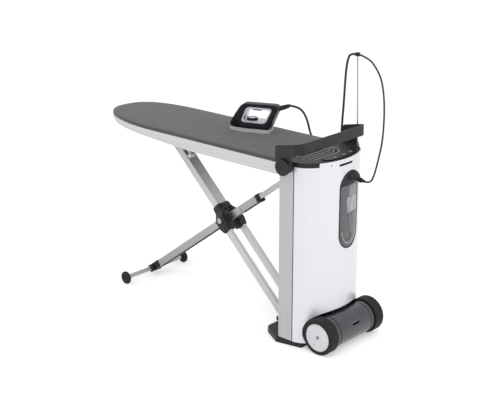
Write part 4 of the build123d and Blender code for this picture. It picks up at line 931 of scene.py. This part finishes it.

# %% [markdown]
# ## Tank face
# The smoky tank shows a pale cartridge with its neck, a dark painted shade below
# it for the dim inside, a curved pale edge near its floor and a dark seal round
# its rim. Each of these lies on the tank, so it is the room that a bar along x
# shares with a copy of the tank, set a fraction of a millimetre proud.

# %% Pieces on the tank's face
TANK_Y = 32


def on_tank(name, shape, proud, material, slot_name):
    """A shape in the (y, z) view laid on the tank's curved face."""
    face = bar(shape, 60, 260)
    face.transform(frame_at(0, 0, 0))
    thing = piece(name, face, "tank", material, slot_name)
    skin = parts["water_tank"].data.copy()
    skin.transform(Matrix.Translation((proud / 1000, 0, 0)))
    settle(thing, [cut_by(thing, "INTERSECT", skin)])


def slot_end(half, floor, order):
    """The lower half circle of a slot that stands on a floor, in steps of 7.5 degrees."""
    turns = [math.pi * (1 + n / 24) for n in order]
    return [(TANK_Y + half * math.cos(turn), floor + half * (1 + math.sin(turn))) for turn in turns]


def slot_ring(outer, inner, low, high):
    """A ring between two slot-shaped outlines, cut off above high."""
    return [
        (TANK_Y - outer, high), *slot_end(outer, low, range(25)), (TANK_Y + outer, high),
        (TANK_Y + inner, high), *slot_end(inner, low + outer - inner, range(24, -1, -1)),
        (TANK_Y - inner, high),
    ]


tank_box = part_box("water_tank")
low, high = tank_box[0][2] * 1000, tank_box[1][2] * 1000
half = (tank_box[1][1] - tank_box[0][1]) * 500
rim_ring = slot_ring(half + 1, half - 7, low - 1, high - 2)
floor_ring = slot_ring(half - 19, half - 24, low + 21, low + 82)
cartridge = rounded([(12, 592), (90, 592), (84, 662), (8, 662)], 10)
neck = rounded([(20, 664), (78, 664), (74, 712), (26, 712)], 6)
# outline of the painted shade, the dim inside of the tank under the cartridge
depth = rounded([(40, 470), (100, 520), (100, 588), (14, 588)], 8)
on_tank("tank_rim", rim_ring, 0.5, black_abs, "black_plastic")
on_tank("tank_floor_line", floor_ring, 0.35, cartridge_seen, "smoke")
on_tank("cartridge_seen", cartridge, 0.3, cartridge_seen, "smoke")
on_tank("cartridge_neck", neck, 0.2, neck_seen, "smoke")
# the painted shade is laid on the tank's face as a thin dark piece
on_tank("tank_painted_shade", depth, 0.2, shade_behind_smoke, "smoke")

# %% [markdown]
# ## Hub centres
# Each off-white hub cap has a small grey centre, a thin disc that covers the
# end of the axle.

# %% Centres of the hub caps
for side, name in ((-1, "near_wheel"), (1, "far_wheel")):
    low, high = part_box(name + "_hub")
    middle = (low[0] + high[0]) * 500, (low[2] + high[2]) * 500
    face = (low if side < 0 else high)[1] * 1000
    start, end = sorted((face - side * 1, face + side * 0.8))
    centre = disc(middle, 7, start, end)
    moulding(name + "_centre", centre, frame_at(0, 0, 0), name, key_grey, "panel_gloss")

# %% [markdown]
# ## Studio
# A wide white floor, three soft lamps and a white world light the object
# evenly. The strongest lamp is high in front, and two weaker ones fill in from
# the tower's side and from the board's tip. The camera stands where the
# photograph was taken from: its place, direction and lens were worked out from
# the board, the wheels and the tower's edges.

# %% Camera
camera_data = bpy.data.cameras.new("camera")
camera_data.lens = 84.3
camera_data.sensor_width = 36
camera = bpy.data.objects.new("camera", camera_data)
camera.location = (3.0665, -3.7549, 2.2274)
camera.rotation_euler = (math.radians(71.4), 0, math.radians(42.2))
bpy.context.scene.collection.objects.link(camera)
bpy.context.scene.camera = camera
bpy.context.scene.view_settings.view_transform = "Standard"
print("camera lens:", camera_data.lens, "mm")

# %% [markdown]
# ## Floor, lamps and world
# The floor glows a little for camera, glossy and see-through rays only, so that
# it looks as white as the photograph's background, also in metal and through
# the tank, while it still takes the object's shadow. The world is brighter for
# camera and glossy rays in the same way.

# %% Floor, lamps and world
FLOOR_HALF, FLOOR_GLOW, WORLD_LIGHT = 9, 0.36, 0.72
floor_data = bpy.data.meshes.new("floor")
corners = [(x * FLOOR_HALF, y * FLOOR_HALF, 0) for x, y in ((-1, -1), (1, -1), (1, 1), (-1, 1))]
floor_data.from_pydata(corners, [], [(0, 1, 2, 3)])
floor = bpy.data.objects.new("floor", floor_data)
bpy.context.scene.collection.objects.link(floor)
paper, tree, shader = finish("white paper", "F4F4F5", 0.9)
larger = {"operation": "MAXIMUM"}
ray = add(tree, "ShaderNodeLightPath").outputs
seen = add(tree, "ShaderNodeMath", larger, _0=ray["Is Camera Ray"], _1=ray["Is Glossy Ray"])
seen = add(tree, "ShaderNodeMath", larger, _0=seen.outputs[0], _1=ray["Is Transmission Ray"])
glow = add(tree, "ShaderNodeMapRange", Value=seen.outputs[0], To_Min=0.0, To_Max=FLOOR_GLOW)
shader.inputs["Emission Color"].default_value = (1, 1, 1, 1)
tree.links.new(glow.outputs[0], shader.inputs["Emission Strength"])
floor_data.materials.append(paper)


def lamp(name, at, towards, size, power):
    """A square soft lamp that faces a point."""
    data = bpy.data.lights.new(name, "AREA")
    data.size = size
    data.energy = power
    thing = bpy.data.objects.new(name, data)
    thing.location = at
    thing.rotation_euler = (Vector(towards) - Vector(at)).to_track_quat("-Z", "Y").to_euler()
    bpy.context.scene.collection.objects.link(thing)


lamp("key lamp", (1.6, -2.2, 3.4), (-0.2, 0, 0.6), 2.4, 42)
lamp("side lamp", (3.4, 1.4, 1.8), (0, 0, 0.5), 2.0, 22)
lamp("left lamp", (-3.2, -2.4, 2.0), (-0.3, 0, 0.5), 2.2, 16)

world = bpy.data.worlds.new("studio")
world.use_nodes = True
bpy.context.scene.world = world
tree = world.node_tree
shade = tree.nodes["Background"]
ray = add(tree, "ShaderNodeLightPath").outputs
seen = add(tree, "ShaderNodeMath", larger, _0=ray["Is Camera Ray"], _1=ray["Is Glossy Ray"])
shade.inputs["Color"].default_value = (1, 1, 1, 1)
strength = add(tree, "ShaderNodeMapRange", Value=seen.outputs[0], To_Min=WORLD_LIGHT, To_Max=1.0)
tree.links.new(strength.outputs[0], shade.inputs["Strength"])
print("studio ready")
